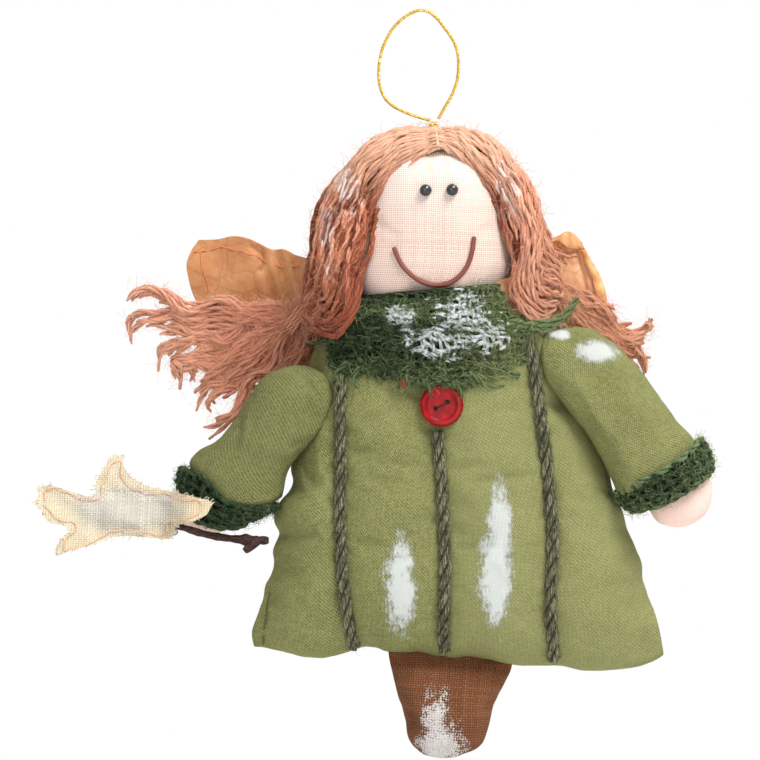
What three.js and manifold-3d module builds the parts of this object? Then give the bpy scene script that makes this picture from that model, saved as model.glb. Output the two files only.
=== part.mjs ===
// Hanging angel doll: a stuffed cloth figure with yarn hair, a scarf, paper wings and a star wand.
// Millimetres, +Z up, front is -Y. The origin is where a hook carries the gold loop, under its top.
import * as THREE from "three";
import { mergeVertices } from "three/addons/utils/BufferGeometryUtils.js";
import Module from "manifold-3d";

const wasm = await Module();
wasm.setup();

// Driving dimensions: cloth, yarn and clearances
const gap = 0.3;
const cloth = 0.8;
const seamHalfGap = 0.15;
const rim = cloth + seamHalfGap;
const fillingGap = 0.3;

// Driving dimensions: the stuffed forms, half their depth front to back
const coatHalfDepth = 13.4;
const headHalfDepth = 12.6;
const sleeveHalfDepth = 8.6;
const handHalfDepth = 5.2;
const legHalfDepth = 7.6;
const sleeveY = -4;

// Driving dimensions: cords, wire and wood
const loopCord = 0.8;
const twine = 3.3;
const smileWire = 1.1;
const twig = 1.4;
const beadEye = 2.9;

// Driving dimensions: the button
const buttonDiameter = 10.3;
const buttonThickness = 2.1;
const buttonHole = 1.2;
const buttonHoleSpacing = 3.2;
const buttonCentre = [5.5, -94.3];

// Driving dimensions: the knot that joins the loop to the crown
const knotCentre = [3.8, 0, -27.4];
const knotRadius = 1.25;

const group = new THREE.Group();
const finishes = {
  gold: { color: 0xc9a227, roughness: 0.35, metalness: 0.8 },
  thread: { color: 0xd8cdb8, roughness: 0.9, metalness: 0 },
  muslin: { color: 0xe6c9b8, roughness: 0.9, metalness: 0 },
  fibre: { color: 0xf2f0ea, roughness: 1, metalness: 0 },
  bead: { color: 0x0a0a0c, roughness: 0.08, metalness: 0 },
  wire: { color: 0x7a4424, roughness: 0.45, metalness: 0.2 },
  yarn: { color: 0xb0603e, roughness: 0.95, metalness: 0 },
  scarf: { color: 0x1f4a2c, roughness: 0.95, metalness: 0 },
  coat: { color: 0x7c8a49, roughness: 0.92, metalness: 0 },
  twine: { color: 0x3a3d28, roughness: 0.95, metalness: 0 },
  red: { color: 0xa9161c, roughness: 0.3, metalness: 0 },
  linen: { color: 0x6b4226, roughness: 0.95, metalness: 0 },
  paper: { color: 0xc58a45, roughness: 0.85, metalness: 0 },
  gauze: { color: 0xe9dcc0, roughness: 0.95, metalness: 0 },
  wood: { color: 0x3b2019, roughness: 0.8, metalness: 0 },
};

// A plain mesh geometry as a solid that can be joined and cut.
function solidOf(geometry) {
  const bare = geometry.index ? geometry.toNonIndexed() : geometry.clone();
  bare.deleteAttribute("normal");
  bare.deleteAttribute("uv");
  const merged = mergeVertices(bare, 1e-4);
  const mesh = new wasm.Mesh({
    numProp: 3,
    vertProperties: merged.attributes.position.array,
    triVerts: new Uint32Array(merged.index.array),
  });
  return new wasm.Manifold(mesh);
}

function geometryOf(solid) {
  const mesh = solid.getMesh();
  const positions = new Float32Array(mesh.numVert * 3);
  for (let i = 0; i < mesh.numVert; i += 1) {
    const from = i * mesh.numProp;
    positions.set(mesh.vertProperties.subarray(from, from + 3), i * 3);
  }
  const geometry = new THREE.BufferGeometry();
  geometry.setAttribute("position", new THREE.BufferAttribute(positions, 3));
  geometry.setIndex(new THREE.BufferAttribute(mesh.triVerts, 1));
  return geometry;
}

// The largest body of a cut solid: slivers that a cut leaves beside it are dropped.
function largest(solid) {
  const bodies = solid.decompose();
  return bodies.reduce((a, b) => (a.volume() > b.volume() ? a : b));
}

function addPiece(name, solid, finish) {
  const geometry = geometryOf(largest(solid));
  geometry.computeVertexNormals();
  const mesh = new THREE.Mesh(geometry, new THREE.MeshStandardMaterial(finishes[finish]));
  mesh.name = name;
  group.add(mesh);
}

const union = (solids) => solids.reduce((a, b) => a.add(b));
const without = (solid, cutters) => cutters.reduce((a, b) => a.subtract(b), solid);

// A smooth line through [x, z] or [x, y, z] points.
function line(points, y = 0) {
  const nodes = points.map((p) => new THREE.Vector3(p[0], p.length > 2 ? p[1] : y, p[p.length - 1]));
  return new THREE.CatmullRomCurve3(nodes, false, "centripetal");
}

// A smooth falling line whose place goes by height: v is the share of its fall, found by halving.
function levelLine(points, y = 0) {
  const curve = line(points, y);
  const top = curve.getPoint(0).z;
  const fall = curve.getPoint(1).z - top;
  const getPoint = (v) => {
    let [low, high] = [0, 1];
    for (let i = 0; i < 30; i += 1) {
      const middle = (low + high) / 2;
      if ((curve.getPoint(middle).z - top) / fall < v) low = middle;
      else high = middle;
    }
    return curve.getPoint((low + high) / 2);
  };
  return { getPoint };
}

// Triangles to a solid, turned to face outwards.
function closedSurface(points, triangles) {
  let volume = 0;
  for (const [a, b, c] of triangles) {
    volume += points[a].dot(new THREE.Vector3().crossVectors(points[b], points[c]));
  }
  const facing = volume < 0 ? triangles.map(([a, b, c]) => [a, c, b]) : triangles;
  const geometry = new THREE.BufferGeometry().setFromPoints(points);
  geometry.setIndex(facing.flat());
  return solidOf(geometry);
}

// The solid between two grids of points that share their rows and columns.
function slab(front, back) {
  const rows = front.length;
  const columns = front[0].length;
  const points = [...front.flat(), ...back.flat()];
  const at = (side, r, c) => side * rows * columns + r * columns + c;
  const triangles = [];
  const quad = (a, b, c, d) => triangles.push([a, b, c], [a, c, d]);
  for (let r = 0; r < rows - 1; r += 1) {
    for (let c = 0; c < columns - 1; c += 1) {
      quad(at(0, r, c), at(0, r, c + 1), at(0, r + 1, c + 1), at(0, r + 1, c));
      quad(at(1, r, c), at(1, r + 1, c), at(1, r + 1, c + 1), at(1, r, c + 1));
    }
    quad(at(0, r, 0), at(0, r + 1, 0), at(1, r + 1, 0), at(1, r, 0));
    const last = columns - 1;
    quad(at(1, r, last), at(1, r + 1, last), at(0, r + 1, last), at(0, r, last));
  }
  for (let c = 0; c < columns - 1; c += 1) {
    quad(at(1, 0, c), at(1, 0, c + 1), at(0, 0, c + 1), at(0, 0, c));
    quad(at(0, rows - 1, c), at(0, rows - 1, c + 1), at(1, rows - 1, c + 1), at(1, rows - 1, c));
  }
  return closedSurface(points, triangles);
}

// The solid through a stack of rings, each end closed by a fan about its middle.
function ringLoft(rings) {
  const sides = rings[0].length;
  const middle = (ring) => ring.reduce((a, b) => a.clone().add(b), new THREE.Vector3()).divideScalar(sides);
  const points = [...rings.flat(), middle(rings[0]), middle(rings[rings.length - 1])];
  const first = rings.length * sides;
  const triangles = [];
  for (let k = 0; k < sides; k += 1) {
    const next = (k + 1) % sides;
    for (let r = 0; r < rings.length - 1; r += 1) {
      const a = r * sides;
      triangles.push([a + k, a + next, a + sides + next], [a + k, a + sides + next, a + sides + k]);
    }
    const last = (rings.length - 1) * sides;
    triangles.push([first, next, k], [first + 1, last + k, last + next]);
  }
  return closedSurface(points, triangles);
}

// A round tube along a curve, as wide all the way.
function tube(curve, diameter, steps, sides = 8) {
  const section = new THREE.Shape();
  for (let k = 0; k < sides; k += 1) {
    const angle = (k * 2 * Math.PI) / sides;
    const x = (diameter / 2) * Math.cos(angle);
    const y = (diameter / 2) * Math.sin(angle);
    if (k === 0) section.moveTo(x, y);
    else section.lineTo(x, y);
  }
  section.closePath();
  return solidOf(new THREE.ExtrudeGeometry(section, { steps, extrudePath: curve, bevelEnabled: false }));
}

// A lock of yarn, cord or horn: rings along a curve whose radius changes from end to end.
function taperedTube(curve, radiusAt, steps, sides, flatten = 1) {
  const frames = curve.computeFrenetFrames(steps, false);
  const rings = [];
  for (let r = 0; r <= steps; r += 1) {
    const centre = curve.getPointAt(r / steps);
    const radius = radiusAt(r / steps);
    const ring = [];
    for (let k = 0; k < sides; k += 1) {
      const angle = (k * 2 * Math.PI) / sides;
      const offset = frames.normals[r].clone().multiplyScalar(radius * Math.cos(angle));
      offset.addScaledVector(frames.binormals[r], radius * Math.sin(angle));
      offset.y *= flatten;
      ring.push(centre.clone().add(offset));
    }
    rings.push(ring);
  }
  return ringLoft(rings);
}

// Stuffed forms
// Rows run down the form and columns run across it, from seam line to seam line.
// A row swells to depth(v) in its middle and comes back to the rim at the side seams.
const acrossRounding = (s, power) => Math.pow(Math.max(0, 1 - Math.pow(Math.abs(s), power)), 0.5);
const endRounding = (v, reach) => Math.sqrt(Math.max(0, 1 - Math.pow(Math.max(0, 1 - v / reach), 2)));

// The depth of a grid's surface where a line along Y meets it at x and z.
function depthAt(rows, x, z, otherwise) {
  for (let r = 0; r < rows.length - 1; r += 1) {
    for (let c = 0; c < rows[0].length - 1; c += 1) {
      const corners = [rows[r][c], rows[r][c + 1], rows[r + 1][c + 1], rows[r + 1][c]];
      for (const [i, j, k] of [[0, 1, 2], [0, 2, 3]]) {
        const [p, q, w] = [corners[i], corners[j], corners[k]];
        const area = (q.x - p.x) * (w.z - p.z) - (w.x - p.x) * (q.z - p.z);
        const a = ((x - p.x) * (w.z - p.z) - (w.x - p.x) * (z - p.z)) / area;
        const b = ((q.x - p.x) * (z - p.z) - (x - p.x) * (q.z - p.z)) / area;
        const within = a >= -1e-6 && b >= -1e-6 && a + b <= 1 + 1e-6;
        if (within) return p.y + a * (q.y - p.y) + b * (w.y - p.y);
      }
    }
  }
  return otherwise;
}

function stuffedForm({ lines, perPanel, rowStops, depth, y = 0, power = 2.4, channel = 0, hemSag = 0 }) {
  const panels = lines.length - 1;
  const columns = panels * perPanel;
  const spread = (c) => 0.5 - 0.5 * Math.cos((Math.PI * c) / columns);
  const grid = (side, grow, inset) => {
    const rows = [];
    for (const v of rowStops) {
      const row = [];
      for (let c = 0; c <= columns; c += 1) {
        const u = panels > 1 ? c / columns : spread(c);
        const panel = Math.min(panels - 1, Math.floor(u * panels + 1e-9));
        const local = u * panels - panel;
        const a = lines[panel].getPoint(v);
        const b = lines[panel + 1].getPoint(v);
        const point = a.clone().lerp(b, local);
        const s = 2 * u - 1;
        const dip = panels > 1 ? 1 - Math.pow(Math.sin(Math.PI * local), 0.55) : 0;
        const inner = panel === 0 ? local > 0.5 : panel === panels - 1 ? local < 0.5 : true;
        const drawnIn = inner ? channel * dip * acrossRounding(s, 6) : 0;
        const swell = depth(v) * acrossRounding(s, power) - drawnIn;
        const half = Math.max(Math.max(rim, swell) - inset, seamHalfGap) + grow;
        point.z -= hemSag * Math.sin(Math.PI * local) * Math.pow(v, 8);
        point.x += grow * Math.pow(s, 21);
        point.z += grow * Math.pow(1 - 2 * v, 21);
        point.y = y + side * half;
        row.push(point);
      }
      rows.push(row);
    }
    return rows;
  };
  const inside = (rows) => rows.slice(1, -1).map((row) => row.slice(1, -1));
  const outer = { front: grid(-1, 0, 0), back: grid(1, 0, 0) };
  return {
    surfaceY: (x, z, side = "front") => depthAt(outer[side], x, z, y),
    whole: (grow) => slab(grid(-1, grow, 0), grid(1, grow, 0)),
    panel: (side) => slab(grid(side, 0, 0), grid(side, 0, cloth)),
    filling: () => slab(inside(grid(-1, 0, cloth + fillingGap)), inside(grid(1, 0, cloth + fillingGap))),
  };
}

// Stops from 0 to 1, close together at the ends where a form turns over.
const stops = (count) => {
  return Array.from({ length: count + 1 }, (_, i) => 0.5 - 0.5 * Math.cos((Math.PI * i) / count));
};

// Coat: four stuffed panels between the side seams and the three twine channels
const coatLines = [
  levelLine([[-12.5, -70.6], [-18.4, -77.8], [-20.5, -84.4], [-19.8, -91.5], [-20.8, -98], [-25.2, -104],
    [-30.4, -111.5], [-33.8, -121], [-35.3, -132], [-37.6, -142], [-40.4, -149.6], [-38.8, -153]]),
  levelLine([[-5, -70.6], [-13.5, -79], [-18.2, -88], [-18.4, -106], [-18.6, -122], [-17.6, -140],
    [-15, -154]]),
  levelLine([[4, -70.4], [3.6, -84], [4, -98.5], [5.3, -110.5], [6.3, -130], [6.1, -146], [6.2, -154.9]]),
  levelLine([[12.5, -70], [22, -74.5], [27.2, -80], [28.2, -90], [30.3, -106.7], [31.9, -126],
    [31.5, -144], [32.6, -157.2]]),
  levelLine([[19.5, -69.6], [26.2, -74.2], [29.2, -79], [28.9, -86], [29.9, -92.4], [34, -98],
    [39.2, -104.6], [43.8, -112], [46.2, -118.4], [51, -124], [53.4, -131], [56, -141],
    [59.6, -150], [58.6, -155.8]]),
];
const coat = stuffedForm({
  lines: coatLines,
  perPanel: 4,
  rowStops: stops(11),
  depth: (v) => coatHalfDepth * (0.56 + 0.44 * endRounding(v, 0.5)) * endRounding(1 - v, 0.3),
  power: 3.2,
  channel: 2.6,
  hemSag: 0.8,
});
const coatGrown = coat.whole(1.5 * gap);
const coatClear = coat.whole(3 * gap);
addPiece("coat_front", coat.panel(-1), "coat");
addPiece("coat_back", coat.panel(1), "coat");
addPiece("coat_filling", coat.filling(), "fibre");

// Head: narrow at the crown, wide at the cheeks, open below where it is sewn to the coat
const headLines = [
  levelLine([[-0.5, -33.8], [-6.4, -37.4], [-10.8, -44], [-12.8, -52], [-14.4, -60], [-14.2, -66],
    [-11.4, -69.6]]),
  levelLine([[9.4, -33.6], [14.4, -38], [18.3, -45], [20.6, -52], [22.3, -59.5], [21.2, -64.8],
    [17.4, -68.4]]),
];
const head = stuffedForm({
  lines: headLines,
  perPanel: 10,
  rowStops: stops(9),
  depth: (v) => headHalfDepth * endRounding(v, 0.5) * (0.5 + 0.5 * endRounding(1 - v, 0.3)),
});
const headGrown = head.whole(1.5 * gap);
addPiece("head_front", head.panel(-1), "muslin");
addPiece("head_back", head.panel(1), "muslin");
addPiece("head_filling", head.filling(), "fibre");

// Arms: a round shoulder that turns in the coat's armhole, a sleeve, an open weave cuff and a hand
// The shoulders turn about x -29.2, z -93.1 on the left and x 39.2, z -85.2 on the right.
const armShapes = {
  left: {
    outer: [[-31.6, -84.9], [-36.6, -87.4], [-41.2, -93.4], [-45.3, -99.6], [-50.2, -104.8],
      [-55.4, -111.6]],
    inner: [[-26.6, -85], [-22.3, -88.4], [-20.9, -93.2], [-22.7, -98.4], [-26.6, -104], [-31.2, -109.8],
      [-35, -116.4]],
    cuff: { x: -46, z: -117, axis: [-0.2, -0.98], halfWidth: 12.6, halfLength: 5.2 },
    hand: { reach: 9.8, halfWidth: 6.4, shift: -4.2 },
  },
  right: {
    outer: [[41.8, -75.9], [47.2, -79.6], [53.2, -85.6], [58.2, -92.4], [62.4, -98.4], [67, -104.4]],
    inner: [[36, -76.2], [31.2, -80.2], [29.9, -85.6], [31.6, -91], [36.2, -96], [41, -103.4],
      [47.7, -114]],
    cuff: { x: 58.9, z: -111.2, axis: [0.478, -0.878], halfWidth: 12.6, halfLength: 4.9 },
    hand: { reach: 13.6, halfWidth: 7.6, shift: 0.9 },
  },
};
const sides = ["left", "right"];

const sleeveGrown = {};
for (const side of sides) {
  const shape = armShapes[side];
  const edges = [line(shape.outer, sleeveY), line(shape.inner, sleeveY)];
  if (side === "right") edges.reverse();
  const sleeve = stuffedForm({
    lines: edges,
    perPanel: 8,
    rowStops: [0, 0.07, 0.17, 0.3, 0.48, 0.66, 0.84, 1],
    depth: (v) => sleeveHalfDepth * endRounding(v, 0.32),
    y: sleeveY,
  });
  sleeveGrown[side] = sleeve.whole(gap);
  addPiece(`sleeve_${side}_front`, sleeve.panel(-1), "coat");
  addPiece(`sleeve_${side}_back`, sleeve.panel(1), "coat");
  addPiece(`sleeve_${side}_filling`, sleeve.filling(), "fibre");
}

// A flat oval ring about a wrist, drawn on the cuff's own axis.
function wristRing(cuff, t, halfWidth, halfDepth, points) {
  const [ax, az] = cuff.axis;
  const ring = [];
  for (let k = 0; k < points; k += 1) {
    const angle = (k * 2 * Math.PI) / points;
    const across = halfWidth * Math.sign(Math.cos(angle)) * Math.pow(Math.abs(Math.cos(angle)), 0.8);
    const x = cuff.x + ax * t - az * across;
    const z = cuff.z + az * t + ax * across;
    ring.push(new THREE.Vector3(x, sleeveY + halfDepth * Math.sin(angle), z));
  }
  return ring;
}

// A mitten-shaped hand: it starts inside the cuff and rounds off at its tip.
function handSolid({ cuff, hand }, grow) {
  const x = cuff.x - cuff.axis[1] * hand.shift;
  const z = cuff.z + cuff.axis[0] * hand.shift;
  const rings = [0.3, 0.42, 0.56, 0.7, 0.82, 0.92, 0.985].map((f) => {
    const round = Math.sqrt(1 - Math.pow(Math.max(0, (f - 0.45) / 0.55), 2));
    const halfWidth = hand.halfWidth * round + grow;
    return wristRing({ ...cuff, x, z }, f * hand.reach, halfWidth, handHalfDepth * round + grow, 14);
  });
  return ringLoft(rings);
}

for (const side of sides) {
  const { cuff } = armShapes[side];
  const outer = [-1, -0.6, 0, 0.6, 1].map((f) => {
    const puff = 1 - 0.16 * Math.abs(f) ** 3;
    return wristRing(cuff, f * cuff.halfLength, cuff.halfWidth * puff, (sleeveHalfDepth + 2) * puff, 16);
  });
  const bore = [-1.3, 1.3].map((f) => {
    return wristRing(cuff, f * cuff.halfLength, cuff.halfWidth - 3, sleeveHalfDepth - 0.8, 16);
  });
  const inTheBore = [ringLoft(bore), sleeveGrown[side], handSolid(armShapes[side], gap)];
  addPiece(`cuff_${side}`, without(ringLoft(outer), [...inTheBore, coatGrown]), "scarf");
  addPiece(`hand_${side}`, without(handSolid(armShapes[side], 0), [sleeveGrown[side]]), "muslin");
}

// Leg: one tapered stuffed foot, flat at the hem seam where it hinges
const legLines = [
  levelLine([[-7.2, -156], [-6.2, -159.4], [-5, -164.4], [-3.4, -170], [-2.3, -174.6], [0.4, -177.7]]),
  levelLine([[22.6, -158.3], [20.8, -161.6], [18.4, -167.2], [17, -172], [15.6, -175.4], [11.4, -177.9]]),
];
const leg = stuffedForm({
  lines: legLines,
  perPanel: 9,
  rowStops: [0, 0.08, 0.2, 0.36, 0.54, 0.72, 0.86, 0.95, 1],
  depth: (v) => legHalfDepth * Math.sin(Math.PI * Math.min(0.5, v)) ** 1.2 * endRounding(1 - v, 0.3),
  hemSag: 1.4,
});
addPiece("leg_front", leg.panel(-1), "linen");
addPiece("leg_back", leg.panel(1), "linen");
addPiece("leg_filling", leg.filling(), "fibre");

// Face: two glossy beads and a bent wire smile, glued to the head's front
for (const [name, x, z] of [["eye_left", 1.7, -43.5], ["eye_right", 8.2, -43.2]]) {
  const bead = new THREE.SphereGeometry(beadEye / 2, 12, 8);
  bead.translate(x, head.surfaceY(x, z) - 0.75 * (beadEye / 2), z);
  addPiece(name, without(solidOf(bead), [headGrown]), "bead");
}
const smile = [[-5.9, -56.4], [-4.5, -58.8], [-2.6, -62], [0, -64.6], [3.5, -65.7], [7, -65], [10, -63],
  [12.4, -60.4], [13.3, -57.4], [13.2, -54.5]];
const smileLine = line(smile.map(([x, z]) => [x, head.surfaceY(x, z) - smileWire / 2 - 2 * gap, z]));
addPiece("smile_wire", tube(smileLine, smileWire, 16, 6), "wire");

// Twines laid in the coat's channels, from under the scarf to the hem
const twineLines = {
  left: [[-18.4, -90.8], [-18.5, -98], [-18.4, -106], [-18.6, -122], [-17.9, -136], [-16.4, -147],
    [-15.2, -152.6]],
  centre: [[4.6, -100.6], [5.3, -110.5], [6.1, -124], [6.3, -134], [6.1, -146], [6.2, -153.4]],
  right: [[27.3, -83.6], [28.2, -90], [30.3, -106.7], [31.9, -126], [31.5, -144], [32.5, -155.6]],
};
for (const [name, points] of Object.entries(twineLines)) {
  const laid = points.map(([x, z]) => [x, coat.surfaceY(x, z, "front") - twine / 2 - 0.1, z]);
  addPiece(`coat_twine_${name}`, without(tube(line(laid), twine, 13), [coatGrown]), "twine");
}

// Button: a dished disc with two holes, and the thread that crosses between them
const [buttonX, buttonZ] = buttonCentre;
const restOn = [-3.5, 0, 3.5].map((d) => coat.surfaceY(buttonX + d, buttonZ));
const buttonBackY = Math.min(...restOn) - gap;
// The profile's radii are shares of the button's radius, and its heights shares of the thickness.
const buttonProfile = [[0, 0], [0.82, 0], [1, 0.24], [1, 0.72], [0.9, 1], [0.76, 0.95], [0.64, 0.72],
  [0, 0.72]];
const buttonDisc = new THREE.LatheGeometry(buttonProfile.map(([r, h]) => {
  return new THREE.Vector2((r * buttonDiameter) / 2, h * buttonThickness);
}), 24);
const holeTilt = -0.5;
const holeOffset = new THREE.Vector2(buttonHoleSpacing / 2, 0).rotateAround(new THREE.Vector2(), holeTilt);
const holeDrill = (sign) => {
  const drill = new THREE.CylinderGeometry(buttonHole / 2, buttonHole / 2, 8, 10);
  return solidOf(drill.translate(sign * holeOffset.x, 0, sign * holeOffset.y));
};
const buttonSolid = without(solidOf(buttonDisc), [holeDrill(1), holeDrill(-1)]);
const buttonPlace = new THREE.Matrix4().makeTranslation(buttonX, buttonBackY, buttonZ);
// The lathe's axis is Y: a half turn about Z makes its face look forward.
const buttonPose = buttonPlace.multiply(new THREE.Matrix4().makeRotationZ(Math.PI));
addPiece("button", buttonSolid.transform(buttonPose.elements), "red");
const threadHeight = [-1.4, -2.3, -2.6, -2.3, -1.4];
const threadAcross = [-1, -0.95, 0, 0.95, 1];
const threadLine = line(threadAcross.map((f, i) => {
  return [buttonX - f * holeOffset.x, buttonBackY + threadHeight[i], buttonZ + f * holeOffset.y];
}));
addPiece("button_thread", tube(threadLine, 0.5, 8, 6), "bead");

// Yarn hair: a cap of ridged locks over the head, parted in the middle, drawn into a tail at each side
// Each row of the cap is its height, left and right reach, half depth and middle in depth.
const hairRows = [
  [-28.7, 0.6, 7.6, 3.2, 0.4], [-29.4, -4, 12, 7.4, 0.4], [-31.2, -9.4, 16.2, 11, 0.5],
  [-34, -13.2, 19.8, 13.2, 0.6], [-38.4, -17.6, 22.8, 14.6, 0.8], [-44, -21.2, 26.4, 15.4, 1],
  [-51, -23.6, 29.4, 15.8, 1], [-58, -25, 31.8, 15.4, 1], [-64.5, -26.6, 31.6, 14.4, 1],
  [-70, -27.4, 31, 12.6, 1],
];
const hairRidges = 11;
function hairCap(grow) {
  const rings = hairRows.map(([z, left, right, halfDepth, y], row) => {
    const ring = [];
    for (let k = 0; k < 2 * hairRidges; k += 1) {
      const angle = (k * Math.PI) / hairRidges;
      const ridge = row === 0 ? 1 : 1 + (k % 2 ? -0.022 : 0.022);
      const x = (left + right) / 2 + ((right - left) / 2 * ridge + grow) * Math.cos(angle);
      ring.push(new THREE.Vector3(x, y + (halfDepth * ridge + grow) * Math.sin(angle), z));
    }
    return ring;
  });
  return ringLoft(rings);
}

// A prism whose outline is drawn in X and Z, from one depth to another.
function prism(outline, fromY, toY) {
  const shape = new THREE.Shape(outline.map(([x, z]) => new THREE.Vector2(x, z)));
  const geometry = new THREE.ExtrudeGeometry(shape, { depth: toY - fromY, bevelEnabled: false });
  geometry.rotateX(Math.PI / 2).translate(0, toY, 0);
  return solidOf(geometry);
}

const faceWindow = prism([[4.6, -34], [1.2, -34.6], [-4.3, -40], [-8.6, -46.3], [-10.2, -54.7],
  [-11.8, -64], [-13, -72], [22, -72], [22.4, -63], [21.2, -57.4], [19.4, -50.5], [16.8, -44.6],
  [12.4, -39.2], [8, -34.6]], -40, -1);

// A lock is its points from root to tip, then its radius at the root and at the tip.
const drape = (from, to, ...path) => ({ path, from, to });
const tail = (...path) => ({ path, from: 3.2, to: 0.9 });
const leftRoot = [-22, 4, -62];
const rightRoot = [27, 3, -55];
const hairLocks = {
  left: [
    drape(3, 1.2, [-14.4, -8, -60], [-15.4, -12, -69], [-15.6, -15.4, -78.4]),
    drape(3.6, 1.4, [-20, -4, -60], [-21.4, -8.6, -70], [-20.8, -13, -78.6]),
    drape(3, 1.2, [-24, 1, -60], [-25.4, -1.4, -69], [-25, -4, -76]),
    tail([-22, 3, -62], [-27.5, 7.6, -72.4], [-41, 9, -70.6], [-55, 9.4, -68.4], [-69.8, 8.4, -69.4]),
    tail(leftRoot, [-28, 8, -73], [-42, 9.6, -74.6], [-57, 9.6, -74], [-69, 8.6, -78]),
    tail(leftRoot, [-27.6, 8, -73.6], [-42, 8.8, -79.4], [-53, 8.6, -80], [-62, 8, -84]),
    tail(leftRoot, [-27.2, 8.4, -73.6], [-39, 9.6, -82], [-49, 9, -86.4], [-57, 8.4, -91]),
    tail(leftRoot, [-27, 8, -74], [-36, 8.6, -84], [-43.6, 8.4, -92], [-50.6, 8, -100.5]),
  ],
  right: [
    drape(3, 1.2, [24.4, -7, -58], [25.8, -11, -66], [24.8, -13.4, -72.4]),
    drape(3, 1.2, [28.4, -2, -58], [30.6, -4.6, -66], [32.4, -6.4, -72]),
    tail(rightRoot, [31.6, 7.4, -63], [39, 9, -71], [47, 9.2, -76], [52.6, 8.8, -77.4], [54.4, 8.6, -72.4]),
    tail(rightRoot, [31.8, 7.8, -63.4], [39, 8.8, -73.4], [47, 9.4, -79.4], [55.2, 8.4, -85.8]),
    tail([27, 4, -55], [31.4, 8, -63.6], [35, 9, -72], [40.6, 9, -78.6], [46, 8.8, -82.6]),
  ],
};
const lockSolid = (lock, grow) => {
  const radiusAt = (t) => lock.from + (lock.to - lock.from) * Math.pow(t, 1.7) + grow;
  return taperedTube(line(lock.path), radiusAt, lock.path.length + 1, 5);
};
const locksOf = (side, grow) => union(hairLocks[side].map((lock) => lockSolid(lock, grow)));

// Scarf: a band round the neck, a bib over the chest and two ragged ends
const scarfBand = (grow) => {
  const ring = new THREE.TorusGeometry(16, 2.6 + grow, 8, 22);
  ring.scale(1.156, 0.86, 2).rotateY(-0.09).translate(3.5, 0.4, -72.3);
  return solidOf(ring);
};
const bandGrown = scarfBand(gap);
addPiece("scarf_band", without(scarfBand(0), [headGrown, coatGrown]), "scarf");

const bibLines = [
  line([[-20.6, -78.6], [-19.6, -85], [-16.6, -90]]),
  line([[27, -77], [25.2, -82], [20.4, -88.8]]),
];
function bibGrid(offset) {
  const rows = [];
  for (const v of [0, 0.3, 0.65, 1]) {
    const row = [];
    for (let c = 0; c <= 14; c += 1) {
      const s = c / 14;
      const point = bibLines[0].getPoint(v).lerp(bibLines[1].getPoint(v), s);
      point.z += 1.2 * v * Math.sin(Math.PI * s) - 0.9 * v * (c % 2);
      const across = (point.x - 3.5) / 27;
      point.y = -(5.4 + 10.2 * Math.sqrt(1 - across * across)) + offset + 0.35 * Math.sin(2.1 * c);
      row.push(point);
    }
    rows.push(row);
  }
  return rows;
}
const drapeGrown = { left: locksOf("left", gap), right: locksOf("right", gap) };
const roundTheBib = [coatClear, bandGrown, drapeGrown.left, drapeGrown.right];
addPiece("scarf_bib", without(slab(bibGrid(-0.9), bibGrid(0.9)), roundTheBib), "scarf");
const scarfEnds = {
  left: { path: [[-21.6, -8.6, -80.6], [-24.2, -8, -80.2], [-27, -7, -79.4]], from: 1.5, to: 0.6 },
  right: { path: [[28.4, -9.6, -76.2], [33, -9.4, -73.6], [38.2, -8.4, -69]], from: 1.8, to: 0.6 },
};
for (const side of sides) {
  const bibGrown = slab(bibGrid(-1.2), bibGrid(1.2));
  const end = without(lockSolid(scarfEnds[side], 0), [bibGrown, drapeGrown[side], coatClear]);
  addPiece(`scarf_end_${side}`, end, "scarf");
}

// The loop's knot and the pale stitch that holds it in the parting
const knotClearance = new THREE.SphereGeometry(knotRadius + gap, 16, 12);
knotClearance.translate(...knotCentre);
const stitchPath = [[3.9, -1.6, -28.6], [4.2, -5.4, -29.9], [4.8, -9.6, -33.4]];
const crownStitch = (grow) => tube(line(stitchPath), 0.8 + grow, 8, 6);
addPiece("crown_stitch", without(crownStitch(0), [solidOf(knotClearance)]), "thread");

const partingX = 4;
const halfBox = 60;
const tieRadius = 4.4;
const tieYarn = 2;
const tieLean = 0.45;
const ties = {
  left: { place: [-27.2, 7.4, -71.8], turn: 0.6 },
  right: { place: [30.9, 6.9, -62], turn: -0.55 },
};
for (const side of sides) {
  const away = side === "left" ? 1 : -1;
  const otherHalf = new THREE.BoxGeometry(halfBox, halfBox, 2 * halfBox);
  otherHalf.translate(partingX + away * (halfBox / 2 - gap / 2), 0, -halfBox);
  const cutters = [headGrown, faceWindow, solidOf(otherHalf), solidOf(knotClearance), crownStitch(2 * gap)];
  const cap = without(hairCap(0), cutters);
  const { place, turn } = ties[side];
  const tie = new THREE.TorusGeometry(tieRadius, tieYarn / 2, 6, 16);
  tie.rotateX(tieLean).rotateY(turn).translate(...place);
  const tieSolid = solidOf(tie);
  const whole = union([cap, locksOf(side, 0)]);
  addPiece(`hair_${side}`, without(whole, [headGrown, coatClear, bandGrown]), "yarn");
  addPiece(`hair_tie_${side}`, without(tieSolid, [drapeGrown[side], hairCap(gap), coatGrown]), "yarn");
}

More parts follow.
